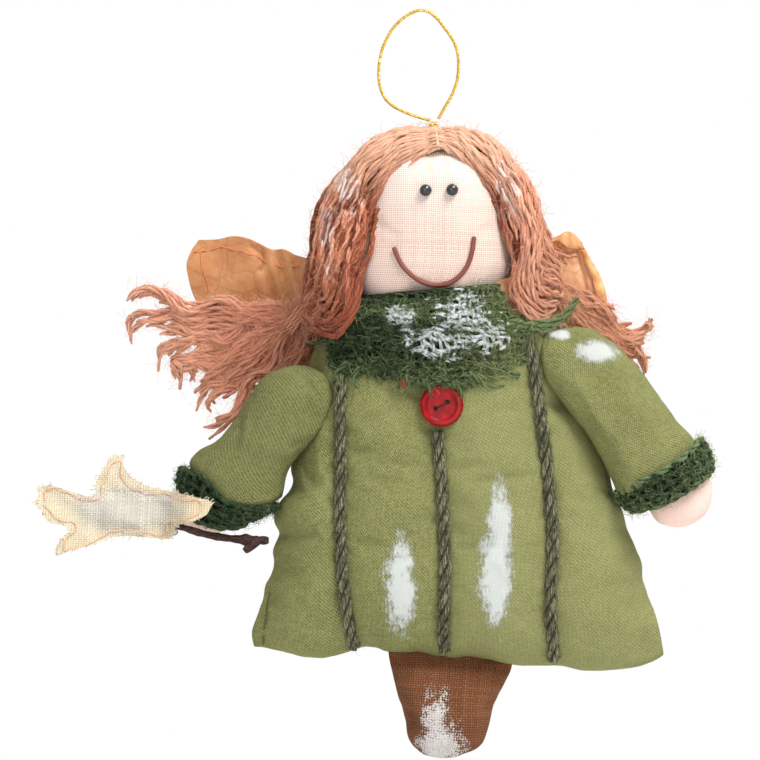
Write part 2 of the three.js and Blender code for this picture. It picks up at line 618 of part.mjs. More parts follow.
// Wings: a crumpled paper sheet each side, gathered at the middle of the back behind the hair
const wingThickness = 0.9;
const wingY = 14.9;
const wings = {
  left: [
    line([[2.6, -75.6], [-10, -68], [-26.5, -59.2], [-38.6, -55.2], [-46, -53.4], [-53.4, -54.4]]),
    line([[2.6, -82], [-14, -87], [-32, -87], [-46, -82], [-53.6, -72], [-56.2, -60]]),
  ],
  right: [
    line([[4.6, -75.6], [14, -68], [27, -57.4], [36, -52.4], [41, -55], [45.6, -63.6]]),
    line([[4.6, -82], [16, -87], [28, -88], [38, -86], [44, -80.6], [46.8, -71.4]]),
  ],
};
for (const side of sides) {
  const grid = (offset) => {
    const rows = [];
    for (let r = 0; r <= 5; r += 1) {
      const row = [];
      for (let c = 0; c <= 10; c += 1) {
        const point = wings[side][0].getPoint(c / 10).lerp(wings[side][1].getPoint(c / 10), r / 5);
        const out = c / 10;
        const folds = 0.9 * Math.sin(0.42 * point.x + 0.31 * point.z);
        const creases = 0.6 * Math.sin(0.8 * point.z - 0.3 * point.x);
        point.y = wingY + 0.05 * Math.abs(point.x) + (folds + creases) * out + offset;
        row.push(point);
      }
      rows.push(row);
    }
    return rows;
  };
  const cutters = [hairCap(2 * gap), drapeGrown.left, drapeGrown.right, coatClear, bandGrown];
  const sheet = slab(grid(-wingThickness / 2), grid(wingThickness / 2));
  addPiece(`wing_${side}`, without(sheet, cutters), "paper");
}

// Wand: a twig glued under the left hand, its end held between two layers of a gauze star
const twigPath = [[-70, -11.5, -121.2], [-63, -12.3, -121.8], [-57.4, -13, -122.9], [-51, -11.4, -124.9],
  [-45, -10.4, -126], [-40, -10.2, -126.4], [-36.4, -10, -126.5]];
const twigLine = line(twigPath);
const twigRadius = (t) => (twig / 2) * (0.9 + 0.25 * t + 0.06 * Math.sin(40 * t));
addPiece("twig", taperedTube(twigLine, twigRadius, 16, 7), "wood");

// The star's corners in its own plane, point and notch in turn from the top, about its middle.
const starCorners = [[-2.2, 15.8], [4.6, 7.2], [20.8, 2.4], [12.6, -4.4], [10.8, -8.6], [-2.2, -8],
  [-15.2, -12.4], [-13.4, -4.8], [-20.9, 5.2], [-7.5, 4.2]];
const starMiddle = { x: -69.8, y: -10, z: -119, tilt: 0.63 };
const starLayer = 0.6;
function starGrid(side, inner) {
  const rings = 4;
  const perEdge = 2;
  const rows = [];
  for (let r = 0; r <= rings; r += 1) {
    const row = [];
    for (let k = 0; k < starCorners.length * perEdge; k += 1) {
      const corner = Math.floor(k / perEdge);
      const [px, pz] = starCorners[corner];
      const [qx, qz] = starCorners[(corner + 1) % starCorners.length];
      const share = (k % perEdge) / perEdge;
      const reach = Math.max(r / rings, 0.02);
      const across = (px + (qx - px) * share) * reach;
      const up = (pz + (qz - pz) * share) * reach;
      const x = starMiddle.x + across;
      const z = starMiddle.z + up * Math.cos(starMiddle.tilt);
      const fromTwig = Math.abs(z + 121.6 + 0.1 * (x + 66));
      const onTwig = x > -72 ? 1 : Math.exp(-Math.pow((x + 72) / 3, 2));
      const bulge = gap / 2 + (twig / 2 + 0.35) * Math.exp(-Math.pow(fromTwig / 2.4, 2)) * onTwig;
      const overCuff = -9 * THREE.MathUtils.smoothstep(x, -62.5, -53);
      const wave = 0.5 * Math.sin(0.35 * across + 0.5 * up) + overCuff;
      const leaning = starMiddle.y + up * Math.sin(starMiddle.tilt) + wave;
      const offset = side * (bulge + (inner ? 0 : starLayer));
      row.push(new THREE.Vector3(x, leaning + offset, z));
    }
    rows.push(row);
  }
  return rows;
}
for (const [name, side] of [["star_front", -1], ["star_back", 1]]) {
  const inner = starGrid(side, true);
  const outer = starGrid(side, false);
  const layer = ringLoft([...inner, ...outer.reverse()]);
  addPiece(name, without(layer, [taperedTube(twigLine, (t) => twigRadius(t) + gap, 16, 7)]), "gauze");
}

// Hanging loop: one length of gold cord whose two ends meet in a knot at the crown
const loopPath = [[2.9, -26], [-0.6, -25], [-4.3, -23.5], [-6.5, -22.2], [-8, -20.6], [-8.9, -18.6],
  [-9.4, -15.9], [-9.3, -12.6], [-8.7, -9.4], [-7.5, -6.4], [-5.9, -3.8], [-3.7, -1.6], [-1.5, -0.2],
  [0.4, 0.4], [2.4, 0.1], [4.5, -1.5], [6.7, -4.3], [8.7, -7.3], [9.6, -10.4], [9.7, -13.7],
  [9.2, -17.1], [8.1, -20], [6.6, -22.6], [4.9, -25.6]];
const loopLine = line(loopPath);
addPiece("hanging_loop", without(tube(loopLine, loopCord, 40), [solidOf(knotClearance)]), "gold");
const knot = new THREE.SphereGeometry(knotRadius, 12, 9);
addPiece("loop_knot", solidOf(knot.translate(...knotCentre)), "gold");

export default group;
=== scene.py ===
"""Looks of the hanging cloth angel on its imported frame.

Stuffed cloth, yarn hair, a woven scarf and cuffs, wings, and a star on its twig."""
import math
import bpy
import numpy as np
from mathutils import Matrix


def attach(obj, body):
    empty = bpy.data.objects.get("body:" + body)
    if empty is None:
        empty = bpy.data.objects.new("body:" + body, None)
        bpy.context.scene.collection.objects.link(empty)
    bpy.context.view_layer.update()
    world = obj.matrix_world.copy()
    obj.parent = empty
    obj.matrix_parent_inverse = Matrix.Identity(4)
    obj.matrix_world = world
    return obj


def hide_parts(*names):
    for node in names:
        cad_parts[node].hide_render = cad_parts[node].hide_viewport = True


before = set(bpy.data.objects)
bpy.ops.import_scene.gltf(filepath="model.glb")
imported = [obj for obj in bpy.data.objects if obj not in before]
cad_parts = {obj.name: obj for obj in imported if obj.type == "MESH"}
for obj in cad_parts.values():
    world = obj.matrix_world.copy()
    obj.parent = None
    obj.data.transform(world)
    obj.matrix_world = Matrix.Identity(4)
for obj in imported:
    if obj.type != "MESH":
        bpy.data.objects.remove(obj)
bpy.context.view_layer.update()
scene = bpy.context.scene
MM = 0.001
TURN = 2 * math.pi

# How far apart the threads of each cloth lie, in millimetres
COTTON_PITCH = 0.31
MUSLIN_PITCH = 0.52
LINEN_PITCH = 0.6
GAUZE_PITCH = 0.62

# The cloth solver works on pieces this much larger, for this many frames
SOLVER_SCALE = 10
SOLVER_FRAMES = 16

# How wide each ply is and how far it stands off the middle, for each number of plies
PLY_SHARES = {1: (1.0, 0.0), 2: (0.64, 0.36), 3: (0.48, 0.52)}

# Camera: level, square on, framed as the photograph is
camera_data = bpy.data.cameras.new("camera")
camera_data.sensor_width = 36
camera_data.lens = 236.84
camera = bpy.data.objects.new("camera", camera_data)
camera.location = (-0.00912, -1.2, -0.08832)
camera.rotation_euler = (math.radians(90), 0, 0)
scene.collection.objects.link(camera)
scene.camera = camera
scene.view_settings.view_transform = "Standard"


# Node helpers
def colour(red, green, blue, painted_shade_scale=1.0):
    """A 0 to 255 colour as the linear values that a socket takes, scaled down for a darker copy that paints
    shade.
    """
    parts = [value / 255 for value in (red, green, blue)]
    linear = [p / 12.92 if p <= 0.04045 else ((p + 0.055) / 1.055) ** 2.4 for p in parts]
    return tuple(value * painted_shade_scale for value in linear) + (1.0,)


def put(tree, kind, inputs=(), **settings):
    """Adds a node with its settings, and fills its inputs with values or links."""
    node = tree.nodes.new(kind)
    for name, value in settings.items():
        setattr(node, name, value)
    for place, value in inputs:
        if isinstance(value, bpy.types.NodeSocket):
            tree.links.new(value, node.inputs[place])
        else:
            node.inputs[place].default_value = value
    return node


def calc(tree, operation, first, second=0.0, third=0.0):
    inputs = ((0, first), (1, second), (2, third))
    return put(tree, "ShaderNodeMath", inputs, operation=operation).outputs[0]


def vector(tree, operation, first, second=(0, 0, 0), scale=1.0):
    inputs = ((0, first), (1, second), (3, scale))
    node = put(tree, "ShaderNodeVectorMath", inputs, operation=operation)
    return node.outputs[1] if operation in ("LENGTH", "DOT_PRODUCT") else node.outputs[0]


def apart(tree, value):
    return put(tree, "ShaderNodeSeparateXYZ", ((0, value),)).outputs


def mixed(tree, share, first, second, kind="MIX"):
    inputs = ((0, share), (6, first), (7, second))
    return put(tree, "ShaderNodeMix", inputs, data_type="RGBA", blend_type=kind).outputs[2]


def between(tree, share, first, second):
    inputs = ((0, share), (2, first), (3, second))
    return put(tree, "ShaderNodeMix", inputs, data_type="FLOAT").outputs[0]


def ramp(tree, value, low, high, to_low=0.0, to_high=1.0):
    inputs = ((0, value), (1, low), (2, high), (3, to_low), (4, to_high))
    return put(tree, "ShaderNodeMapRange", inputs, interpolation_type="SMOOTHSTEP").outputs[0]


def noise(tree, place, scale, detail=2.0, roughness=0.5):
    inputs = (("Vector", place), ("Scale", scale), ("Detail", detail), ("Roughness", roughness))
    return put(tree, "ShaderNodeTexNoise", inputs).outputs[0]


def attribute(tree, name, output="Fac"):
    return put(tree, "ShaderNodeAttribute", (), attribute_name=name).outputs[output]


def cloth_chart(tree):
    return put(tree, "ShaderNodeUVMap", (), uv_map="cloth").outputs[0]


def group(name, inputs, outputs, kind="ShaderNodeTree"):
    """A node group with its named sockets, and the nodes that carry them in and out."""
    tree = bpy.data.node_groups.new(name, kind)
    for way, sockets in (("INPUT", inputs), ("OUTPUT", outputs)):
        for label, socket in sockets:
            tree.interface.new_socket(label, in_out=way, socket_type="NodeSocket" + socket)
    return tree, tree.nodes.new("NodeGroupInput").outputs, tree.nodes.new("NodeGroupOutput").inputs


def use(tree, which, *inputs):
    return put(tree, "ShaderNodeGroup", inputs, node_tree=which).outputs


# Shared effect: plain weave or twill, with its height and the tone of the thread that shows
woven, given, result = group("woven_cloth", [("Place", "Vector"), ("Pitch", "Float"), ("Slub", "Float"),
                                             ("Twill", "Float")], [("Height", "Float"), ("Thread", "Float")])
wander = put(woven, "ShaderNodeTexNoise", (("Vector", given["Place"]), ("Scale", 240.0), ("Detail", 3.0)))
moved = vector(woven, "SUBTRACT", wander.outputs[1], (0.5, 0.5, 0.5))
moved = vector(woven, "SCALE", moved, scale=given["Slub"])
threads = vector(woven, "SCALE", given["Place"], scale=calc(woven, "DIVIDE", 1.0, given["Pitch"]))
thread = apart(woven, vector(woven, "ADD", threads, moved))
down = calc(woven, "SINE", calc(woven, "MULTIPLY", thread[0], math.pi))
across = calc(woven, "SINE", calc(woven, "MULTIPLY", thread[1], math.pi))
diagonal = calc(woven, "SUBTRACT", thread[0], thread[1])
slant = calc(woven, "SINE", calc(woven, "MULTIPLY", diagonal, TURN / 3))
over = between(woven, given["Twill"], calc(woven, "MULTIPLY", down, across), slant)
heights = [calc(woven, "MULTIPLY", calc(woven, "ABSOLUTE", wave),
                calc(woven, "MULTIPLY_ADD", over, sway, 0.62))
           for wave, sway in ((down, 0.38), (across, -0.38))]
woven.links.new(calc(woven, "MAXIMUM", *heights), result["Height"])
short = calc(woven, "MULTIPLY", given["Twill"], 0.3)
tones = []
for along, beside in ((1, 0), (0, 1)):
    segment = calc(woven, "FLOOR", calc(woven, "MULTIPLY", thread[along], short))
    cell = ((0, segment), (1, calc(woven, "FLOOR", thread[beside])), (2, 57.3 * along))
    place = put(woven, "ShaderNodeCombineXYZ", cell).outputs[0]
    tones.append(put(woven, "ShaderNodeTexWhiteNoise", (("Vector", place),)).outputs[0])
picked = between(woven, calc(woven, "GREATER_THAN", over, 0.0), tones[1], tones[0])
ribbed = calc(woven, "MULTIPLY", calc(woven, "MULTIPLY", slant, given["Twill"]), 0.3)
evened = between(woven, calc(woven, "MULTIPLY", given["Twill"], 0.4), picked, 0.5)
woven.links.new(calc(woven, "ADD", evened, ribbed), result["Thread"])

# Shared effect: a dab of dry paint brushed downwards, broken up by the threads under it
dabbed, given, result = group("dabbed_paint",
                              [("Place", "Vector"), ("Middle", "Vector"), ("Size", "Vector"),
                               ("Ragged", "Float"), ("Height", "Float"), ("Brush", "Vector")],
                              [("Mask", "Float")])
offset = vector(dabbed, "DIVIDE", vector(dabbed, "SUBTRACT", given["Place"], given["Middle"]), given["Size"])
reach = vector(dabbed, "LENGTH", offset)
streaks = noise(dabbed, vector(dabbed, "MULTIPLY", given["Place"], given["Brush"]), 900.0, 4.0, 0.65)
blotch = noise(dabbed, given["Place"], 260.0, 3.0, 0.6)
edge = calc(dabbed, "SUBTRACT", calc(dabbed, "ADD", streaks, blotch), 1.0)
edge = calc(dabbed, "MULTIPLY", edge, given["Ragged"])
level = calc(dabbed, "ADD", calc(dabbed, "SUBTRACT", 1.0, reach), edge)
level = calc(dabbed, "MULTIPLY_ADD", given["Height"], 0.4, calc(dabbed, "SUBTRACT", level, 0.22))
dabbed.links.new(ramp(dabbed, level, 0.0, 0.42, 0.0, 0.94), result["Mask"])

# Shared effect: fibres that run round a yarn in its twist
spun, given, result = group("spun_fibres", [("Round", "Vector"), ("Along", "Float"), ("Twist", "Float"),
                                            ("Fineness", "Float")],
                            [("Height", "Float"), ("Streak", "Float")])
angle = calc(spun, "MULTIPLY", given["Along"], given["Twist"])
turned = put(spun, "ShaderNodeVectorRotate", ((0, given["Round"]), (3, angle)),
             rotation_type="Z_AXIS").outputs[0]
lifted = put(spun, "ShaderNodeCombineXYZ", ((2, calc(spun, "MULTIPLY", given["Along"], 150.0)),)).outputs[0]
fibre = vector(spun, "ADD", turned, lifted)
spun.links.new(noise(spun, fibre, given["Fineness"], 3.0, 0.6), result["Height"])
beyond = vector(spun, "ADD", fibre, (7.0, 3.0, 1.0))
spun.links.new(noise(spun, beyond, given["Fineness"], 2.0, 0.7), result["Streak"])


# Materials
def new_material(name):
    """A material, its tree, its shader node and its object coordinates."""
    material = bpy.data.materials.new(name)
    material.use_nodes = True
    tree = material.node_tree
    place = tree.nodes.new("ShaderNodeTexCoord").outputs["Object"]
    return material, tree, tree.nodes["Principled BSDF"], place


def surface(shader, roughness, specular=0.25, sheen=0.0, sheen_colour=(1, 1, 1, 1)):
    for name, value in (("Roughness", roughness), ("Specular IOR Level", specular), ("Sheen Weight", sheen),
                        ("Sheen Tint", sheen_colour)):
        shader.inputs[name].default_value = value


def finish_material(tree, shader, base, height, depth, rough=None):
    tree.links.new(base, shader.inputs["Base Color"])
    bump = put(tree, "ShaderNodeBump", (("Height", height), ("Distance", depth), ("Strength", 1.0)))
    tree.links.new(bump.outputs[0], shader.inputs["Normal"])
    if rough is not None:
        tree.links.new(rough, shader.inputs["Roughness"])


def toned(tree, place, tone, shades, full, lit):
    """The base colour between three shades, with painted light and shade towards some ends: axis, from, to,
    share and colour.
    """
    base = mixed(tree, ramp(tree, tone, 0.1, 0.55), shades[0], shades[1])
    base = mixed(tree, ramp(tree, tone, 0.5, full), base, shades[2])
    sides = apart(tree, place)
    for axis, low, high, share, painted_light_tone in lit:
        base = mixed(tree, ramp(tree, sides[axis], low * MM, high * MM, 0.0, share), base, colour(*painted_light_tone))
    return base


# Multiplies a colour by a grey: painted shade in the gaps of a weave and between the plies of a yarn.
def darkened(tree, base, shade):
    grey = put(tree, "ShaderNodeCombineColor", [(part, shade) for part in range(3)]).outputs[0]
    return mixed(tree, 1.0, base, grey, "MULTIPLY")


def dab_mask(tree, place, dab, height, brush):
    """Where a dab of paint lies: its middle, its size and how ragged it is, in millimetres."""
    middle = tuple(value * MM for value in dab[:3])
    size = tuple(value * MM for value in dab[3:6])
    return use(tree, dabbed, ("Place", place), ("Middle", middle), ("Size", size), ("Ragged", dab[6]),
               ("Height", height), ("Brush", brush))["Mask"]


def cloth_material(name, shades, pitch, slub, depth, dabs=(), patch=0.5, gap_shade=0.34, sheen=0.15,
                   vary=0.26, paint=(226, 230, 226), twill=0.0, lit=(), brush=(1.9, 1.0, 0.8), painted_shade_scale=1.0):
    """Woven cloth with uneven threads, soft patches of darker and paler tone, painted shade in the gaps
    between threads, and dabs of white paint on its threads.
    """
    material, tree, shader, place = new_material(name)
    shades = [colour(*shade, painted_shade_scale) for shade in shades]
    weave = use(tree, woven, ("Place", cloth_chart(tree)), ("Pitch", pitch * MM), ("Slub", slub),
                ("Twill", twill))
    patches = noise(tree, place, 90.0, 3.0, 0.6)
    tone = calc(tree, "MULTIPLY_ADD", calc(tree, "SUBTRACT", weave["Thread"], 0.5), vary, 0.5)
    tone = calc(tree, "MULTIPLY_ADD", calc(tree, "SUBTRACT", patches, 0.5), patch, tone)
    base = toned(tree, place, tone, shades, 0.9, lit)
    # Painted shade: the colour darkens where the weave is lowest, in the gaps between threads.
    base = darkened(tree, base, ramp(tree, weave["Height"], 0.14, 0.72, gap_shade, 1.04))
    height = weave["Height"]
    for dab in dabs:
        mask = dab_mask(tree, place, dab, weave["Height"], brush)
        base = mixed(tree, mask, base, colour(*paint))
        height = calc(tree, "MULTIPLY_ADD", mask, 0.35, height)
    surface(shader, 0.86, 0.2, sheen, shades[1])
    finish_material(tree, shader, base, height, depth)
    return material


def yarn_material(name, shades, twist, fineness, depth, dabs=(), lit=(), paint=(232, 236, 238),
                  brush=(0.3, 1.0, 1.0), vary=0.5, grain=0.9, painted_valley_shade=0.4, chosen=0.0):
    """Spun yarn: fibres twisted round each ply, painted shade where the plies meet, each strand a little
    different.
    """
    material, tree, shader, place = new_material(name)
    shades = [colour(*shade) for shade in shades]
    strand = attribute(tree, "tone")
    fibres = use(tree, spun, ("Round", attribute(tree, "round", "Vector")),
                 ("Along", attribute(tree, "along")), ("Twist", twist), ("Fineness", fineness))
    cloud = noise(tree, place, 160.0, 3.0, 0.6)
    tone = calc(tree, "ADD", calc(tree, "MULTIPLY", fibres["Streak"], grain),
                calc(tree, "MULTIPLY", strand, vary))
    tone = calc(tree, "MULTIPLY_ADD", cloud, 0.5, calc(tree, "SUBTRACT", tone, (grain + vary) / 2 - 0.28))
    base = toned(tree, place, tone, shades, 1.0, lit)
    # Painted shade on the sides of each ply that face into the yarn, where the plies meet.
    base = darkened(tree, base, ramp(tree, attribute(tree, "proud"), -0.35, 0.45, painted_valley_shade, 1.0))
    for dab in dabs:
        mask = dab_mask(tree, place, dab, fibres["Height"], brush)
        if chosen:
            mask = calc(tree, "MULTIPLY", mask, ramp(tree, strand, chosen, chosen + 0.2, 0.1, 1.0))
        base = mixed(tree, mask, base, colour(*paint))
    surface(shader, 0.8, 0.22, 0.25, shades[2])
    finish_material(tree, shader, base, fibres["Height"], depth)
    return material


def plain_material(name, dark, light, scale, depth, roughness, specular=0.25, detail=2.0, coarse=0.5,
                   stretch=None, steps=None, rough=None):
    """A finish whose tone wanders between two colours, with fine bumps to match."""
    material, tree, shader, place = new_material(name)
    if stretch:
        place = vector(tree, "MULTIPLY", place, stretch)
    grain = noise(tree, place, scale, detail, coarse)
    base = mixed(tree, ramp(tree, grain, *steps) if steps else grain, colour(*dark), colour(*light))
    surface(shader, roughness, specular)
    finish_material(tree, shader, base, grain, depth, ramp(tree, grain, *rough) if rough else None)
    return material


# Mesh helpers: points are in millimetres until a mesh is made
def xyz(x, y, z):
    return np.stack(np.broadcast_arrays(x, y, z), axis=-1)


def line_through(points, count):
    """Evenly spaced points on a smooth curve through the given ones."""
    points = np.array(points, float)
    run = np.concatenate([[0.0], np.cumsum(np.linalg.norm(np.diff(points, axis=0), axis=1))])
    slope = np.gradient(points, run, axis=0)
    wanted = np.linspace(0, run[-1], count)
    index = np.clip(np.searchsorted(run, wanted, side="right") - 1, 0, len(points) - 2)
    step = (run[index + 1] - run[index])[:, None]
    share = (wanted - run[index])[:, None] / step
    square = share ** 2
    cube = share ** 3
    return ((2 * cube - 3 * square + 1) * points[index] + (cube - 2 * square + share) * step * slope[index]
            + (3 * square - 2 * cube) * points[index + 1] + (cube - square) * step * slope[index + 1])


def nearest(points, x, z):
    """Which of the points is nearest to each place, seen from the front."""
    across_gap = points[:, 0] - np.atleast_1d(x)[:, None]
    up_gap = points[:, 2] - np.atleast_1d(z)[:, None]
    return np.argmin(across_gap ** 2 + up_gap ** 2, axis=1)


def smoothed(values, reach):
    """Each value averaged with as many on either side."""
    count = 2 * reach + 1
    return np.convolve(np.pad(values, reach, mode="edge"), np.ones(count) / count, mode="valid")


def quads(index, flip=False):
    faces = np.stack([index[:-1, :-1], index[:-1, 1:], index[1:, 1:], index[1:, :-1]],
                     axis=-1).reshape(-1, 4)
    return faces[:, ::-1] if flip else faces


def wrapped_quads(rows, columns, flip):
    index = np.arange(rows * columns).reshape(rows, columns)
    return [list(face) for face in quads(np.concatenate([index, index[:, :1]], axis=1), flip)]


def solid_mesh(name, points, faces, chart=None, extra=None):
    """A smooth mesh from points in millimetres, with its cloth chart and other values by point."""
    mesh = bpy.data.meshes.new(name)
    mesh.from_pydata((np.array(points) * MM).tolist(), [], [list(map(int, face)) for face in faces])
    mesh.polygons.foreach_set("use_smooth", np.ones(len(mesh.polygons), bool))
    if chart is not None:
        corners = np.empty(len(mesh.loops), int)
        mesh.loops.foreach_get("vertex_index", corners)
        layer = mesh.uv_layers.new(name="cloth")
        layer.data.foreach_set("uv", (np.array(chart) * MM)[corners].astype(np.float32).ravel())
    for label, values in (extra or {}).items():
        add_values(mesh, label, values)
    mesh.update()
    return mesh


def add_values(mesh, label, values):
    layer = mesh.attributes.new(label, "FLOAT", "POINT")
    layer.data.foreach_set("value", np.array(values, np.float32))


def piece(name, mesh, body, material, nodes=()):
    """Puts a mesh in the scene on the body that it rides on, with its finish and the nodes it stands for."""
    item = bpy.data.objects.new(name, mesh)
    scene.collection.objects.link(item)
    if not mesh.materials:
        mesh.materials.append(material)
    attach(item, body)
    if nodes:
        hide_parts(*nodes)
    return item


def shaped_piece(name, shape, body, material, nodes=(), chart=None, extra=None):
    """A piece from its points and faces."""
    return piece(name, solid_mesh(name, *shape, chart, extra), body, material, nodes)


def frames_along(path):
    """Tangent, side and up at each point of a path, turned as little as possible."""
    path = np.array(path, float)
    tangent = np.gradient(path, axis=0)
    tangent /= np.linalg.norm(tangent, axis=1)[:, None] + 1e-12
    side = np.empty_like(tangent)
    start = np.cross(tangent[0], (0.0, 0.0, 1.0) if abs(tangent[0][2]) < 0.9 else (1.0, 0.0, 0.0))
    side[0] = start / np.linalg.norm(start)
    for index in range(1, len(path)):
        moved_side = side[index - 1] - tangent[index] * np.dot(side[index - 1], tangent[index])
        side[index] = moved_side / np.linalg.norm(moved_side)
    return tangent, side, np.cross(tangent, side)


def tube(path, radius, sides):
    """A round tube with closed, rounded ends."""
    path = np.array(path, float)
    radius = np.broadcast_to(radius, (len(path),)).astype(float)
    tangent, side, up = frames_along(path)
    caps = [(-0.8, 0.6), (-0.55, 0.84)]
    start = [path[0] + tangent[0] * radius[0] * push for push, _ in caps]
    end = [path[-1] - tangent[-1] * radius[-1] * push for push, _ in caps[::-1]]
    path = np.concatenate([start, path, end])
    radius = np.concatenate([[radius[0] * size for _, size in caps], radius,
                             [radius[-1] * size for _, size in caps[::-1]]])
    side, up = [np.concatenate([[way[0]] * 2, way, [way[-1]] * 2]) for way in (side, up)]
    angle = np.linspace(0, TURN, sides, endpoint=False)[None, :, None]
    ring = side[:, None] * np.cos(angle) + up[:, None] * np.sin(angle)
    points = path[:, None] + ring * radius[:, None, None]
    last = (len(path) - 1) * sides
    faces = wrapped_quads(len(path), sides, True)
    faces += [list(range(sides)), list(range(last, last + sides))[::-1]]
    return points.reshape(-1, 3), faces


def shell(front, thickness, flip=False):
    """A closed slab from one grid of points: a second layer behind it and a rim all round."""
    front = np.array(front, float)
    rows, columns = front.shape[:2]
    normal = np.cross(np.gradient(front, axis=1), np.gradient(front, axis=0))
    normal /= np.linalg.norm(normal, axis=2)[..., None] + 1e-9
    back = front + normal * (-thickness if flip else thickness)
    total = rows * columns
    index = np.arange(total).reshape(rows, columns)
    border = np.concatenate([index[0, :-1], index[:-1, -1], index[-1, :0:-1], index[:0:-1, 0]])
    following = np.roll(border, -1)
    rim = np.stack([border, following, following + total, border + total], axis=1)
    faces = [quads(index, not flip), quads(index + total, flip), rim[:, ::-1] if flip else rim]
    return np.concatenate([front.reshape(-1, 3), back.reshape(-1, 3)]), np.concatenate(faces)


def rounding(share, reach):
    """Rises from 0 at the end to 1 at reach, as the side of a circle does."""
    return np.sqrt(np.maximum(0, 1 - np.maximum(0, 1 - share / reach) ** 2))


def travelled_along(grid, axis):
    """The distance along a grid's rows or columns from their start."""
    steps = np.linalg.norm(np.diff(grid, axis=axis), axis=2)
    start = np.zeros((1, steps.shape[1]) if axis == 0 else (steps.shape[0], 1))
    return np.concatenate([start, np.cumsum(steps, axis=axis)], axis=axis)


def stuffed(lines, per_panel, rows, depth, middle=0.0, sag=0.0, top=False, shift=None, hem=None):
    """Front and back sheets over an outline whose lines run from its top to its bottom.

    Returns the points, the faces, the cloth chart and the index of the front and back grids."""
    rails = np.array([line_through(line, rows + 1) for line in lines])
    columns = per_panel * (len(lines) - 1)
    marks = np.linspace(0, len(lines) - 1, columns + 1)
    first = np.minimum(marks.astype(int), len(lines) - 2)
    local = marks - first
    flat = rails[first] * (1 - local)[:, None, None] + rails[first + 1] * local[:, None, None]
    flat = flat.transpose(1, 0, 2)
    down = np.linspace(0, 1, rows + 1)[:, None] * np.ones(columns + 1)
    flat[:, :, 1] -= sag * np.sin(np.pi * np.clip(local, 0, 1)) ** 0.8 * down ** 6
    if hem is not None:
        wanted = np.interp(flat[-1, :, 0], [point[0] for point in hem], [point[1] for point in hem])
        flat[:, :, 1] += (wanted - flat[-1, :, 1]) * down ** 6
    over = np.linspace(-1, 1, columns + 1)[None, :] * np.ones((rows + 1, 1))
    half = depth(over, down, local[None, :] * np.ones((rows + 1, 1)))
    half[:, [0, -1]] = 0
    half[-1] = 0
    if not top:
        half[0] = 0
    if shift is not None:
        middle = middle + shift(over, flat[..., 0], flat[..., 1])
    front = xyz(flat[..., 0], middle - half, flat[..., 1])
    back = xyz(flat[..., 0], middle + half, flat[..., 1])
    across_run = travelled_along(front, 1)
    across_run -= across_run[:, [columns // 2]]
    down_run = travelled_along(front, 0).mean(axis=1)[:, None] * np.ones(columns + 1)
    chart = np.stack([across_run, down_run], axis=-1).reshape(-1, 2)
    total = (rows + 1) * (columns + 1)
    front_index = np.arange(total).reshape(rows + 1, columns + 1)
    back_index = front_index + total
    back_index[:, [0, -1]] = front_index[:, [0, -1]]
    back_index[-1] = front_index[-1]
    if not top:
        back_index[0] = front_index[0]
    faces = [list(face) for face in quads(front_index, True)] + [list(face) for face in quads(back_index)]
    if top:
        for place in range(columns):
            face = [front_index[0, place], front_index[0, place + 1], back_index[0, place + 1],
                    back_index[0, place]]
            faces.append(list(dict.fromkeys(int(index) for index in face)))
    points = np.concatenate([front.reshape(-1, 3), back.reshape(-1, 3)])
    used = np.unique(np.concatenate([front_index.ravel(), back_index.ravel()]))
    renumber = np.full(len(points), -1)
    renumber[used] = np.arange(len(used))
    faces = [[int(renumber[index]) for index in face] for face in faces]
    charts = np.concatenate([chart, chart])[used]
    return points[used], faces, charts, renumber[front_index], renumber[back_index]


def coordinates(mesh):
    points = np.empty(len(mesh.vertices) * 3)
    mesh.vertices.foreach_get("co", points)
    return points.reshape(-1, 3)


def puff(pieces):
    """Blows the stuffed pieces up with their seams held, at the size that suits the solver."""
    before = {}
    for item, held, pressure, grow, limit in pieces:
        before[item.name] = coordinates(item.data)
        item.data.vertices.foreach_set("co", (before[item.name] * SOLVER_SCALE).ravel())
        item.data.update()
        item.vertex_groups.new(name="held").add(held, 1.0, "REPLACE")
        cloth = item.modifiers.new("cloth", "CLOTH")
        for name, value in (("quality", 5), ("mass", 0.3), ("vertex_group_mass", "held"),
                            ("tension_stiffness", 20), ("compression_stiffness", 20), ("shear_stiffness", 8),
                            ("bending_stiffness", 0.8), ("use_pressure", True),
                            ("uniform_pressure_force", pressure), ("shrink_min", -grow)):
            setattr(cloth.settings, name, value)
        cloth.settings.effector_weights.gravity = 0
        cloth.collision_settings.use_collision = False
        cloth.point_cache.frame_start = 1
        cloth.point_cache.frame_end = SOLVER_FRAMES
    for number in range(1, SOLVER_FRAMES + 1):
        scene.frame_set(number)
    depsgraph = bpy.context.evaluated_depsgraph_get()
    for item, held, pressure, grow, limit in pieces:
        settled = item.evaluated_get(depsgraph)
        move = coordinates(settled.to_mesh()) / SOLVER_SCALE - before[item.name]
        settled.to_mesh_clear()
        item.modifiers.remove(item.modifiers["cloth"])
        item.vertex_groups.clear()
        size = np.linalg.norm(move, axis=1)[:, None] + 1e-12
        move *= np.minimum(size, limit * MM) / size
        item.data.vertices.foreach_set("co", (before[item.name] + move).ravel())
        item.data.update()
    scene.frame_set(1)


def plain_mesh(item):
    """An object's mesh with its modifiers applied."""
    depsgraph = bpy.context.evaluated_depsgraph_get()
    return bpy.data.meshes.new_from_object(item.evaluated_get(depsgraph), preserve_all_data_layers=True,
                                           depsgraph=depsgraph)


